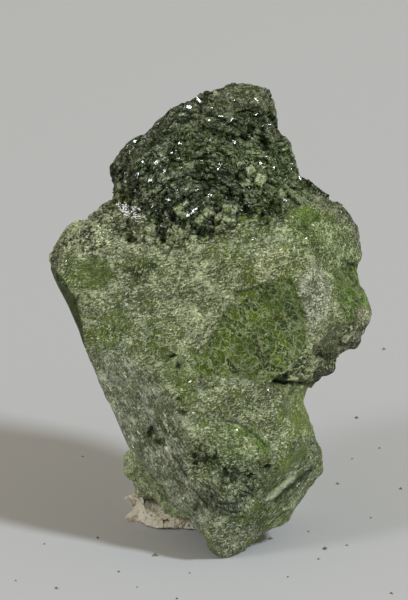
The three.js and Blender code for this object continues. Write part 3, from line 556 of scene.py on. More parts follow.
def relief(places, share, facing):
    """How far each point of the stone stands out from the plain solid, in millimetres, and how much painted
    shade
    it gets: darkening painted into its gaps, pits, cracks and hollows, where shade falls. facing is 1 where
    the solid faces the viewer, and 0 at the outline."""
    front = soft_step(-2.0, 1.5, places[:, 2])
    smooth = np.maximum.reduce([share["window"], share["narrow facet"], share["smooth strip"],
                                0.5 * share["grey band"], 0.6 * share["smooth green patch"]])
    left_face = soft_step(0.9, 0.3, left_edge_distance(places)) * soft_step(4.0, 2.0, places[:, 2])
    smooth = np.maximum(smooth, left_face)

    out = (0.10 * rough(places / 1.5, 1) + 0.08 * rough(places / 0.6, 5)) * (1 - 0.85 * smooth)

    # The cap: tilted crystals, and chips on them.
    bent = flow(places) + 0.75 * np.stack([rough(places / 1.3, 110 + k) for k in range(3)], axis=1)
    big, big_gap = crystals(bent / CAP_CRYSTAL, 100)
    small, small_gap = crystals(bent / CAP_CHIP, 200)
    crevice_shade = np.zeros(len(places))
    cap = share["dark cap"] * (1 - share["blocks"])
    bold = 0.45 + 0.55 * soft_step(0.0, 0.5, facing)
    out += cap * bold * (CAP_CRYSTAL_HEIGHT * big - 0.18 * soft_step(0.10, 0.0, big_gap))
    out += cap * (CAP_CHIP_HEIGHT * small - 0.05 * soft_step(0.12, 0.0, small_gap))
    out += cap * 0.05 * rough(places / 0.35, 120, 2)
    # Painted shade: the gaps between the cap's crystals are darkened.
    crevice_shade += cap * (0.9 * soft_step(0.12, 0.0, big_gap) + 0.35 * soft_step(0.12, 0.0, small_gap))

    # The shoulder and the mound: grains with gaps between them. The lobe has knobs of the same size.
    uneven = 0.45 * np.stack([rough(places / 0.8, 130 + k) for k in range(3)], axis=1)
    grain, grain_gap = crystals(places / GRAIN + uneven, 150)
    grainy = np.maximum(share["mound"] * (1 - share["green crescent"]), share["left granular shoulder, painted lighter"])
    grainy = grainy * (1 - cap)
    out += grainy * (GRAIN_HEIGHT * grain - 0.06 * soft_step(0.22, 0.0, grain_gap))
    out += grainy * 0.12 * rough(places / 0.5, 125, 3)
    # Painted shade: the gaps between the grains, the mound's wide gaps, the gaps at the cap's border and the
    # shoulder's gaps are darkened.
    gaps = soft_step(0.14, 0.02, grain_gap) * soft_step(0.0, 0.5, rough(places / 1.4, 140))
    crevice_shade += 0.6 * grainy * gaps
    wide_gaps = soft_step(0.34, 0.08, grain_gap) * soft_step(-0.15, 0.15, rough(places / 1.0, 145))
    crevice_shade += 0.7 * share["mound, dark gaps"] * wide_gaps
    out -= 0.12 * share["mound, dark gaps"] * wide_gaps
    out -= 0.18 * share["border gaps"]
    crevice_shade += share["border gaps"]
    crevice_shade += 0.45 * share["left granular shoulder, painted lighter"] * (1 - cap) * soft_step(0.22, 0.02, grain_gap)
    out += share["lobe"] * (0.05 - 0.08 * soft_step(0.5, 0.0, grain_gap) + 0.06 * big)

    # The back and the sides: broken slabs and long steps.
    broken, broken_gap = crystals(places / SLAB, 300, tilt=0.9)
    rest = (1 - front) * (1 - cap) * (1 - left_face)
    out += rest * (SLAB_HEIGHT * broken - 0.12 * soft_step(0.08, 0.0, broken_gap))
    out += rest * 0.14 * small
    u, v = places[:, 0], places[:, 1]
    steps = terraces(0.94 * u + 0.34 * v + 0.7 * rough(places / 2.5, 320), SLAB_STEP)
    out += rest * SLAB_STEP_HEIGHT * steps

    # Thin plates and ledges at the right, and steps along the strips and the band.
    strip_turn, band_turn = math.radians(42), math.radians(65)
    bend = 0.25 * rough(places / 1.6, 70)
    folded = 0.5 * rough(places / 1.1, 75)
    out += share["plates"] * 0.30 * terraces(v + folded + 0.15 * u, 0.55)
    out += share["ledge"] * (0.24 * terraces(v - 0.5 * u + folded, 0.6) - 0.22)
    # The hollow under the plates is darkened further: painted shade.
    crevice_shade += 0.8 * share["cavity in painted shade"]
    out += share["under the right point"] * 0.34 * terraces(v - 0.5 * u + bend, 0.65)
    across = -math.sin(strip_turn) * u + math.cos(strip_turn) * v
    out += share["lower right strips"] * 0.20 * terraces(-across + 0.6 * bend, 1.15)
    across = math.sin(band_turn) * u + math.cos(band_turn) * v
    out += share["grey band"] * 0.10 * terraces(across + bend, 0.8)

    # The sunken window, the pits, the blocks and the cracks.
    on_front = soft_step(-1.0, 0.5, places[:, 2])
    inside = soft_step(0.10, -0.10, outline_distance(ZONES["window"]["outline"], places))
    out -= WINDOW_DEPTH * inside * soft_step(1.0, 3.0, places[:, 2])
    # The pits and cracks are sunk and also darkened: painted shade.
    for place_u, place_v, wide, high, depth in PITS:
        reach = ((u - place_u) / wide) ** 2 + ((v - place_v) / high) ** 2 + 0.8 * clouds(places / 0.33, 80)
        pit = on_front * soft_step(0.30, 0.70, np.exp(-np.maximum(reach, 0)))
        out -= depth * pit
        crevice_shade += 0.9 * pit * (depth > 0)
    for *block, height in BLOCKS:
        out += BLOCK_HEIGHT * height * block_share(places, *block)
    moved = places + 0.2 * np.stack([rough(places, 90), rough(places, 95), 0 * u], axis=1)
    for line, width, depth in CRACKS:
        crack = on_front * np.exp(-((line_distance(line, moved) / width) ** 2))
        out -= depth * crack
        crevice_shade += crack
    return out, np.clip(crevice_shade, 0, 1)


def nudged(places):
    """The places after the small shifts of the outline."""
    moved = places.copy()
    for u, v, reach, du, dv in NUDGES:
        near = np.exp(-((places[:, 0] - u) ** 2 + (places[:, 1] - v) ** 2) / reach**2)
        moved[:, 0] += du * near
        moved[:, 1] += dv * near
    return moved


# Meshes: a CAD solid is copied, split and smoothed, and then moved out and in by its relief.

def solid_of(node):
    """A CAD node's points in metres and its triangles."""
    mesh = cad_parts[node].data
    mesh.calc_loop_triangles()
    points = np.empty(len(mesh.vertices) * 3)
    mesh.vertices.foreach_get("co", points)
    faces = np.empty(len(mesh.loop_triangles) * 3, np.int32)
    mesh.loop_triangles.foreach_get("vertices", faces)
    points = points.reshape(-1, 3)
    merged, place = np.unique(np.round(points, 7), axis=0, return_inverse=True)
    return merged, place.reshape(-1)[faces.reshape(-1, 3)].astype(np.int64)


def split(points, faces, chosen=None):
    """Splits each chosen triangle in four, and the triangles beside it so that no gap opens."""
    sides = np.sort(faces[:, [[0, 1], [1, 2], [2, 0]]], axis=2)
    keys, place = np.unique(sides[..., 0] * len(points) + sides[..., 1], return_inverse=True)
    place = place.reshape(-1, 3)
    halved = np.zeros(len(keys), bool)
    halved[place if chosen is None else place[chosen]] = True
    middle = np.full(len(keys), -1)
    middle[halved] = len(points) + np.arange(halved.sum())
    ends = np.stack([keys // len(points), keys % len(points)], axis=1)[halved]
    points = np.vstack([points, points[ends].mean(axis=1)])
    middles = middle[place]
    count = (middles >= 0).sum(axis=1)
    pieces = [faces[count == 0]]
    (a, b, c), (ab, bc, ca) = faces[count == 3].T, middles[count == 3].T
    pieces += [np.stack(corners, axis=1)
               for corners in ((a, ab, ca), (ab, b, bc), (ca, bc, c), (ab, bc, ca))]
    for turn in range(3):
        turned = np.roll(faces, -turn, axis=1)
        turned_middles = np.roll(middles, -turn, axis=1)
        one = (count == 1) & (turned_middles[:, 0] >= 0)
        (a, b, c), ab = turned[one].T, turned_middles[one, 0]
        pieces += [np.stack(corners, axis=1) for corners in ((a, ab, c), (ab, b, c))]
        two = (count == 2) & (turned_middles[:, 0] < 0)
        (a, b, c), bc, ca = turned[two].T, turned_middles[two, 1], turned_middles[two, 2]
        pieces += [np.stack(corners, axis=1) for corners in ((c, ca, bc), (a, b, bc), (a, bc, ca))]
    return points, np.vstack(pieces)


def smoothed(points, faces, rounds, pull=0.5):
    """Draws each point towards the middle of its neighbours."""
    sides = np.sort(faces[:, [[0, 1], [1, 2], [2, 0]]].reshape(-1, 2), axis=1)
    sides = np.unique(sides, axis=0)
    ends = np.vstack([sides, sides[:, ::-1]])
    count = np.bincount(ends[:, 0], minlength=len(points))[:, None]
    for _ in range(rounds):
        sums = [np.bincount(ends[:, 0], points[ends[:, 1], k], len(points)) for k in range(3)]
        total = np.stack(sums, axis=1)
        points = points + pull * (total / count - points)
    return points


def normals_of(points, faces):
    """Each point's direction out of the solid."""
    corners = points[faces]
    facing = np.cross(corners[:, 1] - corners[:, 0], corners[:, 2] - corners[:, 0])
    total = np.zeros_like(points)
    for k in range(3):
        total += np.stack([np.bincount(faces[:, k], facing[:, n], len(points)) for n in range(3)], axis=1)
    return total / (np.linalg.norm(total, axis=1, keepdims=True) + 1e-12)


def piece_of(name, points, faces, material):
    """A new object with that mesh."""
    mesh = bpy.data.meshes.new(name)
    mesh.from_pydata(points.tolist(), [], faces.tolist())
    mesh.materials.append(material)
    piece = bpy.data.objects.new(name, mesh)
    bpy.context.scene.collection.objects.link(piece)
    return piece


def add_values(piece, name, kind, values):
    """Stores a value for each point on the mesh. kind is FLOAT, FLOAT_VECTOR or FLOAT_COLOR."""
    field = {"FLOAT": "value", "FLOAT_VECTOR": "vector", "FLOAT_COLOR": "color"}[kind]
    layer = piece.data.attributes.new(name, kind, "POINT")
    layer.data.foreach_set(field, np.asarray(values, np.float32).reshape(-1))


# Materials.

class Shader:
    """Builds one material's nodes. An input may be a number, a tuple or another node's output."""

    def __init__(self, name):
        self.material = bpy.data.materials.new(name)
        self.material.use_nodes = True
        self.tree = self.material.node_tree
        self.tree.nodes.clear()

    def add(self, kind, settings=None, **inputs):
        node = self.tree.nodes.new("ShaderNode" + kind)
        for key, value in (settings or {}).items():
            setattr(node, key, value)
        for key, value in inputs.items():
            socket = node.inputs[int(key[1:])] if key[1:].isdigit() else node.inputs[key.replace("_", " ")]
            if isinstance(value, bpy.types.NodeSocket):
                self.tree.links.new(value, socket)
            else:
                socket.default_value = value
        return node

    def value(self, name):
        return self.add("Attribute", {"attribute_name": name})

    def parts(self, colour):
        return self.add("SeparateColor", Color=colour).outputs

    def math(self, operation, first, second=0.0, third=0.0):
        node = self.add("Math", {"operation": operation}, i0=first, i1=second, i2=third)
        return node.outputs[0]

    def times(self, first, second):
        return self.math("MULTIPLY", first, second)

    def average(self, first, second, share):
        return self.add("Mix", {"data_type": "FLOAT"}, i0=share, i2=first, i3=second).outputs[0]

    def choose(self, share, first, second):
        return self.add("Mix", {"data_type": "VECTOR"}, i0=share, i4=first, i5=second).outputs[1]

    def contrast(self, value, strength):
        return self.math("MULTIPLY_ADD", value, strength, 0.5 - 0.5 * strength)

    def vector_math(self, operation, first, second=(0.0, 0.0, 0.0)):
        return self.add("VectorMath", {"operation": operation}, i0=first, i1=second).outputs[0]

    def scaled(self, vector, scale):
        return self.add("VectorMath", {"operation": "SCALE"}, i0=vector, Scale=scale).outputs[0]

    def mix(self, share, first, second, blend="MIX"):
        settings = {"data_type": "RGBA", "blend_type": blend}
        return self.add("Mix", settings, i0=share, i6=first, i7=second).outputs[2]

    def rise(self, value, low, high, to_low=0.0, to_high=1.0):
        settings = {"interpolation_type": "SMOOTHSTEP"}
        node = self.add("MapRange", settings, Value=value)
        for key, limit in (("From Min", low), ("From Max", high), ("To Min", to_low), ("To Max", to_high)):
            if isinstance(limit, bpy.types.NodeSocket):
                self.tree.links.new(limit, node.inputs[key])
            else:
                node.inputs[key].default_value = limit
        return node.outputs[0]

    def noise(self, vector, scale, detail=3.0, roughness=0.6, output=0):
        inputs = dict(Vector=vector, Scale=scale, Detail=detail, Roughness=roughness)
        return self.add("TexNoise", **inputs).outputs[output]

    def shaken(self, vector, place, amount, *noise):
        """The vector moved by noise of the place."""
        return self.vector_math("ADD", vector, self.scaled(self.noise(place, *noise, output=1), amount))

    def stretched(self, vector, angle, size):
        """The vector turned back by angle about w and divided by size, so that noise of it is size across."""
        inputs = dict(Vector=vector, Rotation=(0, 0, angle), Scale=size)
        return self.add("Mapping", {"vector_type": "TEXTURE"}, **inputs).outputs[0]

    def tinted(self, colour, tint):
        return self.mix(1.0, colour, tint, "MULTIPLY")

    def finish(self, surface):
        output = self.add("OutputMaterial")
        self.tree.links.new(surface, output.inputs["Surface"])
        return self.material


# Turns of the grain on the face, the band, the strips and across them, and of the window's cracks.
FACE_GRAIN = math.radians(14)
BAND_GRAIN = math.radians(-58)
STRIP_GRAIN = math.radians(42)
CROSS_GRAIN = math.radians(70)
NET_GRAIN = math.radians(-50)
# Lengths, widths and depths, in millimetres: of a thread and of a flake on each part, of a needle, of the
# cap's clumps and of a cell between the window's cracks.
FIBRE = (0.60, 0.15, 0.3)
CAP_FIBRE = (0.85, 0.11, 0.3)
FACE_FLAKE = (0.16, 0.085, 0.12)
BAND_FLAKE = (0.27, 0.075, 0.14)
STRIP_FLAKE = (0.45, 0.08, 0.20)
CAP_FLAKE = (0.40, 0.075, 0.17)
NEEDLE = (0.42, 0.13, 0.3)
CAP_CLUMP = (2.6, 0.8, 1.6)
NET_CELL = (1.5, 0.85, 1.2)
GRAIN_LIFT = 0.17  # how much a grain's own value shifts the frost pattern
FROST_LEVEL = 0.685  # the pattern's value above which frost begins where cover is 0
LIT_FLAKES = 0.52  # a placed flash shows only on flakes whose own value is higher
GRAIN_BUMP = 0.18 * MM
NET_COLOUR = (0.29, 0.34, 0.18, 1.0)
# Random dark specks, and the painted shade in the crevices, pits and cracks.
DARK_SPECK_AND_CREVICE_SHADE = (0.011, 0.018, 0.004, 1.0)
# The pale colour painted on the left lamp's flashes: a painted highlight.
PAINTED_GLINT_COLOUR = (0.86, 0.89, 0.87, 1.0)
# Ways that the cleavage faces point, (x, y, z), towards the right lamp's glint and the left one's, and the
# share of the glittering grains that lie so. Many small steps share a way, and flash together.
CLEAVAGES = [((0.349, -0.726, 0.592), 0.035), ((-0.394, -0.756, 0.523), 0.040)]


def stone_material():
    shader = Shader("diopside")
    place = shader.value("front").outputs["Vector"]
    deep = shader.value("deep").outputs["Color"]
    frost = shader.value("frost").outputs["Color"]
    finish_value = shader.value("finish")
    cover, net, glitter = shader.parts(finish_value.outputs["Color"])
    crevice_shade = finish_value.outputs["Alpha"]
    fibre_value = shader.value("fibres")
    fibres = [*shader.parts(fibre_value.outputs["Color"]), fibre_value.outputs["Alpha"]]

    patches = shader.noise(place, 0.8, 4.0, 0.65)
    bare = shader.rise(patches, 0.565, 0.595)
    dusty = shader.rise(patches, 0.435, 0.405)
    calm = shader.times(shader.math("MAXIMUM", bare, dusty), 0.55)
    calm = shader.math("MAXIMUM", shader.value("deep").outputs["Alpha"], calm)
    busy = shader.math("SUBTRACT", 1.0, calm)

    flow_place = shader.shaken(shader.value("flow").outputs["Vector"], place, 1.4, 1.1)
    flake_place = shader.stretched(place, FACE_GRAIN, FACE_FLAKE)
    ways = [shader.stretched(place, BAND_GRAIN, BAND_FLAKE),
            shader.stretched(place, STRIP_GRAIN, STRIP_FLAKE),
            shader.vector_math("DIVIDE", flow_place, CAP_FLAKE)]
    for share, way in zip(fibres[1:], ways):
        flake_place = shader.choose(shader.math("GREATER_THAN", share, 0.35), flake_place, way)
    flake_place = shader.shaken(flake_place, place, 0.75, 9.0, 2.0)
    grains = shader.add("TexVoronoi", Vector=flake_place, Scale=1.0)
    grain_value = shader.parts(grains.outputs["Color"])
    fine = shader.noise(flake_place, 0.75, 3.0, 0.75)
    grain = shader.noise(place, 2.0, 4.0, 0.7)
    lift = shader.math("MULTIPLY_ADD", grain_value[0], GRAIN_LIFT, -0.5 * GRAIN_LIFT)
    lift = shader.times(lift, busy)
    pattern = shader.math("ADD", shader.average(fine, grain, 0.40), lift)
    ways = [shader.stretched(place, angle, FIBRE) for angle in (FACE_GRAIN, BAND_GRAIN, STRIP_GRAIN)]
    ways.append(shader.vector_math("DIVIDE", flow_place, CAP_FIBRE))
    for share, way in zip(fibres, ways):
        threads = shader.average(shader.noise(way, 1.0, 3.0, 0.6), pattern, 0.35)
        pattern = shader.mix(share, pattern, shader.contrast(threads, 1.2))
    clumps = shader.noise(place, 0.45, 3.0, 0.6)
    flow_clumps = shader.noise(shader.vector_math("DIVIDE", flow_place, CAP_CLUMP), 1.0, 3.0, 0.6)
    clumps = shader.average(clumps, flow_clumps, fibres[3])
    level = shader.math("SUBTRACT", FROST_LEVEL, shader.times(cover, 0.40))
    level = shader.math("MULTIPLY_ADD", shader.math("SUBTRACT", clumps, 0.5), -0.30, level)
    level = shader.math("MULTIPLY_ADD", shader.math("SUBTRACT", bare, dusty), 0.055, level)
    frosted = shader.rise(pattern, shader.math("SUBTRACT", level, 0.065), shader.math("ADD", level, 0.065))
    crossing = shader.noise(shader.stretched(place, CROSS_GRAIN, NEEDLE), 1.0, 3.0)
    needles = shader.times(shader.rise(crossing, 0.57, 0.63), cover)
    pale = shader.math("MAXIMUM", frosted, needles)

    bent = shader.stretched(shader.shaken(place, place, 0.9, 1.4, 2.0, 0.5), NET_GRAIN, NET_CELL)
    wide_lines, fine_lines = crack_lines(shader, bent, 1.0, 0.07), crack_lines(shader, bent, 2.3, 0.08)
    lines = shader.math("MAXIMUM", wide_lines, fine_lines)
    patchy = shader.rise(shader.noise(place, 2.0, 4.0, 0.7), 0.36, 0.50)
    netted = shader.times(shader.times(lines, net), patchy)
    cells = shader.add("TexVoronoi", Vector=bent, Scale=1.0)
    cell_tone = shader.rise(shader.parts(cells.outputs["Color"])[0], 0.0, 1.0, 0.50, 1.85)
    cell_tone = shader.mix(net, (1.0, 1.0, 1.0, 1.0), grey(shader, cell_tone))

    greener = shader.rise(shader.noise(place, 0.8, 3.0), 0.42, 0.62)
    deep = shader.mix(greener, deep, shader.tinted(deep, (0.98, 1.05, 0.78, 1.0)))
    deep = shader.tinted(deep, cell_tone)
    yellower = shader.rise(shader.noise(place, 1.1, 3.0), 0.45, 0.65)
    frost = shader.mix(yellower, frost, shader.tinted(frost, (1.02, 1.0, 0.96, 1.0)))
    colour = shader.mix(pale, deep, frost)
    colour = shader.mix(needles, colour, shader.tinted(frost, (1.35, 1.33, 1.40, 1.0)))
    colour = shader.mix(shader.times(netted, 0.8), colour, NET_COLOUR)
    tone = shader.rise(shader.noise(place, 0.6, 5.0, 0.62), 0.25, 0.75, 0.68, 1.36)
    dust = shader.add("TexVoronoi", Vector=place, Scale=12.0)
    dust = shader.parts(dust.outputs["Color"])[0]
    own_tone = shader.rise(grain_value[1], 0.0, 1.0, 0.66, 1.45)
    own_tone = shader.times(own_tone, shader.rise(dust, 0.0, 1.0, 0.60, 1.45))
    own_tone = shader.average(own_tone, 1.05, shader.times(calm, 0.8))
    tone = shader.times(tone, own_tone)
    colour = shader.tinted(colour, grey(shader, tone))
    specks = shader.rise(shader.noise(place, 4.2, 3.0, 0.7), 0.57, 0.63)
    specks = shader.times(specks, shader.times(busy, 0.6))
    # Random dark specks, and the painted shade of the crevices, pits and cracks.
    specks = shader.math("MAXIMUM", specks, shader.times(crevice_shade, 0.85))
    colour = shader.mix(specks, colour, DARK_SPECK_AND_CREVICE_SHADE)

    height = shader.math("ADD", shader.times(pale, 0.35), shader.average(fine, grain, 0.5))
    height = shader.times(height, shader.rise(busy, 0.0, 1.0, 0.25, 1.0))
    bump = shader.add("Bump", Height=height, Strength=1.0, Distance=GRAIN_BUMP)
    jitter_way = shader.vector_math("SUBTRACT", grains.outputs["Color"], (0.5, 0.5, 0.5))
    turned = shader.scaled(jitter_way, shader.times(glitter, 1.5))
    normal = shader.vector_math("NORMALIZE", shader.vector_math("ADD", bump.outputs[0], turned))
    sharp = shader.times(shader.rise(grain_value[1], 0.35, 0.75), glitter)
    roughness = shader.rise(sharp, 0.0, 1.0, shader.average(0.42, 0.70, pale), 0.20)
    start = 0.0
    flash_value = shader.value("flash").outputs["Fac"]
    lit = shader.math("GREATER_THAN", grain_value[0], LIT_FLAKES)
    for (way, share), placed in zip(CLEAVAGES, (flash_value, shader.times(flash_value, -1.0))):
        placed = shader.times(shader.math("GREATER_THAN", placed, 0.45), lit)
        above = shader.math("GREATER_THAN", grain_value[2], start)
        stop = shader.math("MULTIPLY_ADD", glitter, share, start)
        below = shader.math("LESS_THAN", grain_value[2], stop)
        flash = shader.math("MAXIMUM", shader.times(above, below), placed)
        steady = shader.add("VectorTransform", {
            "vector_type": "NORMAL", "convert_from": "OBJECT", "convert_to": "WORLD"}, Vector=way).outputs[0]
        jitter = shader.scaled(jitter_way, shader.average(0.22, 0.12, placed))
        steady = shader.vector_math("NORMALIZE", shader.vector_math("ADD", steady, jitter))
        normal = shader.choose(flash, normal, steady)
        roughness = shader.rise(flash, 0.0, 1.0, roughness, 0.08)
        start += share
    # Painted highlight: the left lamp's lit flashes are painted pale.
    painted_left_glint = placed
    colour = shader.mix(painted_left_glint, colour, PAINTED_GLINT_COLOUR)
    surface = shader.add(
        "BsdfPrincipled", Base_Color=colour, Roughness=roughness, Normal=normal, IOR=1.67,
        Specular_IOR_Level=0.15)
    return shader.finish(surface.outputs[0])


def crack_lines(shader, place, scale, width):
    cells = shader.add("TexVoronoi", {"feature": "DISTANCE_TO_EDGE"}, Vector=place, Scale=scale)
    return shader.rise(cells.outputs[0], width, width * 0.2)


def grey(shader, value):
    return shader.add("CombineColor", Red=value, Green=value, Blue=value).outputs[0]


PUTTY_BUMP = 0.22 * MM


def putty_material():
    shader = Shader("mounting putty")
    place = shader.scaled(shader.add("TexCoord").outputs["Object"], 1 / MM)
    soft = shader.noise(place, 0.8, 4.0)
    colour = shader.mix(shader.rise(soft, 0.3, 0.7), (0.82, 0.77, 0.63, 1.0), (0.93, 0.89, 0.76, 1.0))
    stains = shader.rise(shader.noise(place, 1.3, 3.0), 0.56, 0.66)
    colour = shader.mix(shader.times(stains, 0.6), colour, (0.42, 0.24, 0.11, 1.0))
    specks = shader.rise(shader.noise(place, 3.6, 2.0), 0.62, 0.68)
    colour = shader.mix(shader.times(specks, 0.8), colour, (0.07, 0.08, 0.04, 1.0))
    lumps = shader.noise(place, 3.5, 4.0, 0.7)
    bump = shader.add("Bump", Height=lumps, Strength=0.9, Distance=PUTTY_BUMP).outputs[0]
    surface = shader.add("BsdfPrincipled", Base_Color=colour, Roughness=0.75, Normal=bump)
    return shader.finish(surface.outputs[0])


def floor_material():
    shader = Shader("pale floor")
    place = shader.add("TexCoord").outputs["Object"]
    soft = shader.noise(place, 6.0, 2.0)
    colour = shader.mix(soft, (0.55, 0.555, 0.575, 1.0), (0.58, 0.585, 0.605, 1.0))
    surface = shader.add("BsdfPrincipled", Base_Color=colour, Roughness=0.7)
    return shader.finish(surface.outputs[0])


# The stone.
SMOOTHING = 1
FINE_ZONES = ("dark cap", "left granular shoulder, painted lighter", "mound", "plates", "ledge", "under the right point")


def make_stone():
    points, faces = solid_of("crystal")
    for _ in range(2):
        points, faces = split(points, faces)
        points = smoothed(points, faces, SMOOTHING)
    _, share = paint_zones(to_front(points))
    fine = np.maximum.reduce([share[name] for name in FINE_ZONES])
    facing = normals_of(points, faces) @ TO_FRONT[2]
    chosen = ((fine > 0.5) & (facing > 0.15))[faces].any(axis=1)
    points, faces = split(points, faces, chosen)

    places = to_front(points)
    finish, share = paint_zones(places)
    normals = normals_of(points, faces)
    out, crevice_shade = relief(places, share, normals @ TO_FRONT[2])
    moved = from_front(nudged(to_front(points + normals * (out * MM)[:, None])))
    moved[:, 2] = np.maximum(moved[:, 2], 0)

    stone = piece_of("diopside_stone", moved, faces, stone_material())
    opaque = np.ones((len(points), 1))
    add_values(stone, "front", "FLOAT_VECTOR", places)
    add_values(stone, "flow", "FLOAT_VECTOR", flow(places))
    add_values(stone, "flash", "FLOAT", flash_share(FLASHES, places) - flash_share(LEFT_FLASHES, places))
    add_values(stone, "deep", "FLOAT_COLOR", np.hstack([finish["deep"], finish["calm"]]))
    add_values(stone, "frost", "FLOAT_COLOR", np.hstack([finish["frost"], opaque]))
    add_values(stone, "fibres", "FLOAT_COLOR", finish["fibres"])
    # The finish's alpha carries the painted shade of the crevices, pits and cracks.
    packed = np.hstack([finish["cover"], finish["net"], finish["glitter"], crevice_shade[:, None]])
    add_values(stone, "finish", "FLOAT_COLOR", packed)
    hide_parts("crystal")
    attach(stone, "root")
    return stone


# Torn ends of the putty: where each starts, which way and how far it is drawn out, and its width, in
# millimetres.
PUTTY_SPIKES = [
    ((-7.4, 0.6, 1.5), (-1.3, -0.3, 0.20), 0.45),
    ((-7.2, -0.6, 0.4), (-1.3, -0.4, -0.1), 0.5),
    ((-7.3, 1.0, 2.6), (-0.5, -0.2, 0.7), 0.5),
    ((-6.9, 0.0, 1.3), (0.7, 0.4, 0.0), 0.4),
    ((-6.2, 0.4, 2.6), (-0.5, -0.2, 0.6), 0.5),
]
# The putty's front foot on the floor: how far towards the viewer it reaches (y) at each x, in millimetres.
PUTTY_FOOT_X = (-7.6, -6.7, -5.8, -4.7, -3.4, -1.7, 0.5)
PUTTY_FOOT_Y = (0.0, -1.2, -2.0, -2.8, -3.0, -3.0, -3.0)
PUTTY_LEAN = 0.45  # how far the front leans back for each millimetre of height
PUTTY_LUMPS = 1.2  # how much of the relief the front's wall keeps
PUTTY_END_SHIFT = 0.95  # how far its left end is pushed to the right


def make_putty():
    points, faces = solid_of("putty")
    for _ in range(3):
        points, faces = split(points, faces)
        points = smoothed(points, faces, SMOOTHING)
    places = points / MM
    folds, gap = crystals(places / 1.5, 500, tilt=0.8)
    out = 0.16 * rough(places / 1.3, 510) + 0.14 * rough(places / 0.45, 520)
    out += 0.16 * folds - 0.05 * soft_step(0.12, 0.0, gap)
    normals = normals_of(points, faces)
    moved = places + normals * out[:, None]
    x, y, z = places.T
    foot = np.interp(x, PUTTY_FOOT_X, PUTTY_FOOT_Y) + PUTTY_LEAN * z + PUTTY_LUMPS * out
    front = soft_step(0.1, -0.4, normals[:, 1]) * soft_step(2.6, 1.4, z) * soft_step(3.0, 1.5, y)
    front *= soft_step(0.5, -1.0, x)
    moved[:, 1] += front * (foot - moved[:, 1])
    moved[:, 0] += PUTTY_END_SHIFT * soft_step(-5.5, -7.5, x)
    for start, drawn, width in PUTTY_SPIKES:
        near = np.linalg.norm(places - start, axis=1) / width
        moved += np.exp(-near**2)[:, None] * np.array(drawn)
    moved[:, 2] = np.maximum(moved[:, 2], 0)
    putty = piece_of("mounting_putty", moved * MM, faces, putty_material())
    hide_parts("putty")
    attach(putty, "root")
    return putty


# The studio: a pale floor, a lamp on each side a little in front, and an even light from all round.
FLOOR_SIZE = 3.0
# A lamp's name, azimuth to the right of the viewer's line and elevation in degrees, distance and size in
# metres, power in watts, and colour.
LAMPS = [
    ("right lamp", 61, 45, 2.0, 0.33, 25.6, (0.87, 0.94, 1.0)),
    ("left lamp", -60, 36, 2.0, 0.50, 10.0, (0.92, 0.92, 1.0)),
]
ROOM_LIGHT = (0.350, 0.318, 0.235)

# Crumbs of the stone on the floor: places in the picture (u, v) and widths, in millimetres.
CRUMBS = [
    (-5.0, 0.1, 0.45), (-13.4, -2.5, 0.30), (9.7, 0.6, 0.40), (13.0, 11.5, 0.30), (15.8, 17.6, 0.32),
    (11.0, 5.9, 0.28), (16.6, 5.5, 0.30), (-8.1, -1.2, 0.22), (-3.1, -3.3, 0.22), (5.0, 1.4, 0.35),
    (9.1, -0.2, 0.25), (11.6, 0.9, 0.22), (15.2, -2.9, 0.28), (14.9, 8.9, 0.20), (-10.0, 1.5, 0.22),
    (-9.0, 12.8, 0.20), (-11.6, 8.2, 0.18), (-14.6, 1.0, 0.20), (-2.0, -1.3, 0.16), (6.4, -1.6, 0.18),
    (12.4, 8.0, 0.18), (-16.9, -1.9, 0.20), (-6.5, -2.4, 0.16), (8.3, 2.0, 0.18), (13.8, 3.1, 0.18),
]
CRUMB_GROWTH = 1.3  # the chips' widths against those in the list
CRUMB_TURN = 1.7  # from each chip to the next, in radians


def make_crumbs():
    """Small chips that lie where the viewer's line through (u, v) meets the floor."""
    points, faces = [], []
    shape = np.array([(-0.5, -0.4, 0), (0.5, -0.3, 0), (0.1, 0.5, 0), (0.0, 0.0, 0.5)])
    for number, (u, v, width) in enumerate(CRUMBS):
        depth = -(STAND[2] + v * math.cos(VIEW_TILT)) / math.sin(VIEW_TILT)
        centre = from_front(np.array([u, v, depth]))
        turn = np.array(Matrix.Rotation(CRUMB_TURN * number, 3, "Z"))
        faces += [[4 * number + k for k in face] for face in ((0, 2, 1), (0, 1, 3), (1, 2, 3), (2, 0, 3))]
        points += list(centre + (shape @ turn.T) * CRUMB_GROWTH * width * MM)
    shader = Shader("crumbs")
    surface = shader.add("BsdfPrincipled", Base_Color=(0.13, 0.16, 0.07, 1.0), Roughness=0.6)
    piece_of("crumbs", np.array(points), np.array(faces), shader.finish(surface.outputs[0]))


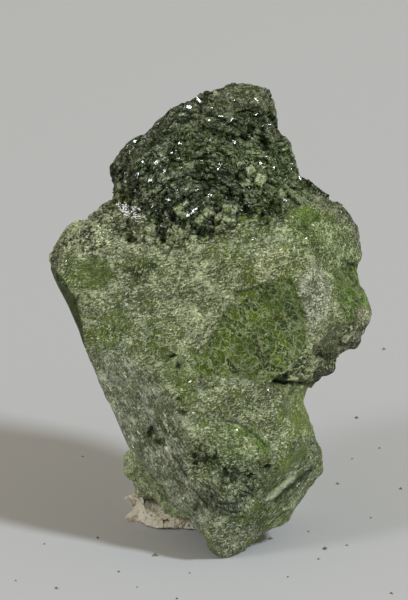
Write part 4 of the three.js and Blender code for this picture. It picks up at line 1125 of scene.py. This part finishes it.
def make_studio():
    half = FLOOR_SIZE / 2
    corners = [(-half, -half, 0), (half, -half, 0), (half, half, 0), (-half, half, 0)]
    floor = piece_of("floor", np.array(corners, float), np.array([[0, 1, 2], [0, 2, 3]]), floor_material())
    middle = Vector(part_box("crystal")[0]).lerp(Vector(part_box("crystal")[1]), 0.5)
    for name, azimuth, elevation, distance, size, power, colour in LAMPS:
        side, up = math.radians(azimuth), math.radians(elevation)
        way = Vector((math.sin(side) * math.cos(up), -math.cos(side) * math.cos(up), math.sin(up)))
        light = bpy.data.lights.new(name, "AREA")
        light.shape = "DISK"
        light.size = size
        light.energy = power
        light.color = colour
        lamp = bpy.data.objects.new(name, light)
        lamp.location = middle + way * distance
        lamp.rotation_euler = way.to_track_quat("Z", "Y").to_euler()
        bpy.context.scene.collection.objects.link(lamp)
    world = bpy.data.worlds.new("room")
    world.use_nodes = True
    world.node_tree.nodes["Background"].inputs["Color"].default_value = (*ROOM_LIGHT, 1.0)
    bpy.context.scene.world = world


# The camera: the photograph's view, 600 pixels high, at 11.6 pixels to a millimetre of the stone.
IMAGE_SIZE = (408, 600)
PIXELS_PER_MM = 11.6
ORIGIN_PIXEL = (213, 557)
CAMERA_DISTANCE = 700.0  # millimetres in front of (u, v, 0)
SHARP_DEPTH = 4.0  # the depth w at which the scale holds


def make_camera():
    u = (IMAGE_SIZE[0] / 2 - ORIGIN_PIXEL[0]) / PIXELS_PER_MM
    v = (ORIGIN_PIXEL[1] - IMAGE_SIZE[1] / 2) / PIXELS_PER_MM
    data = bpy.data.cameras.new("camera")
    data.sensor_fit = "VERTICAL"
    data.sensor_height = 24.0
    data.lens = data.sensor_height * (CAMERA_DISTANCE - SHARP_DEPTH) / (IMAGE_SIZE[1] / PIXELS_PER_MM)
    camera = bpy.data.objects.new("camera", data)
    turn = Matrix(TO_FRONT.T.tolist()).to_4x4()
    camera.matrix_world = Matrix.Translation(from_front(np.array([u, v, CAMERA_DISTANCE]))) @ turn
    bpy.context.scene.collection.objects.link(camera)
    bpy.context.scene.camera = camera
    bpy.context.scene.view_settings.view_transform = "Standard"


make_camera()
make_studio()
make_crumbs()
make_stone()
make_putty()
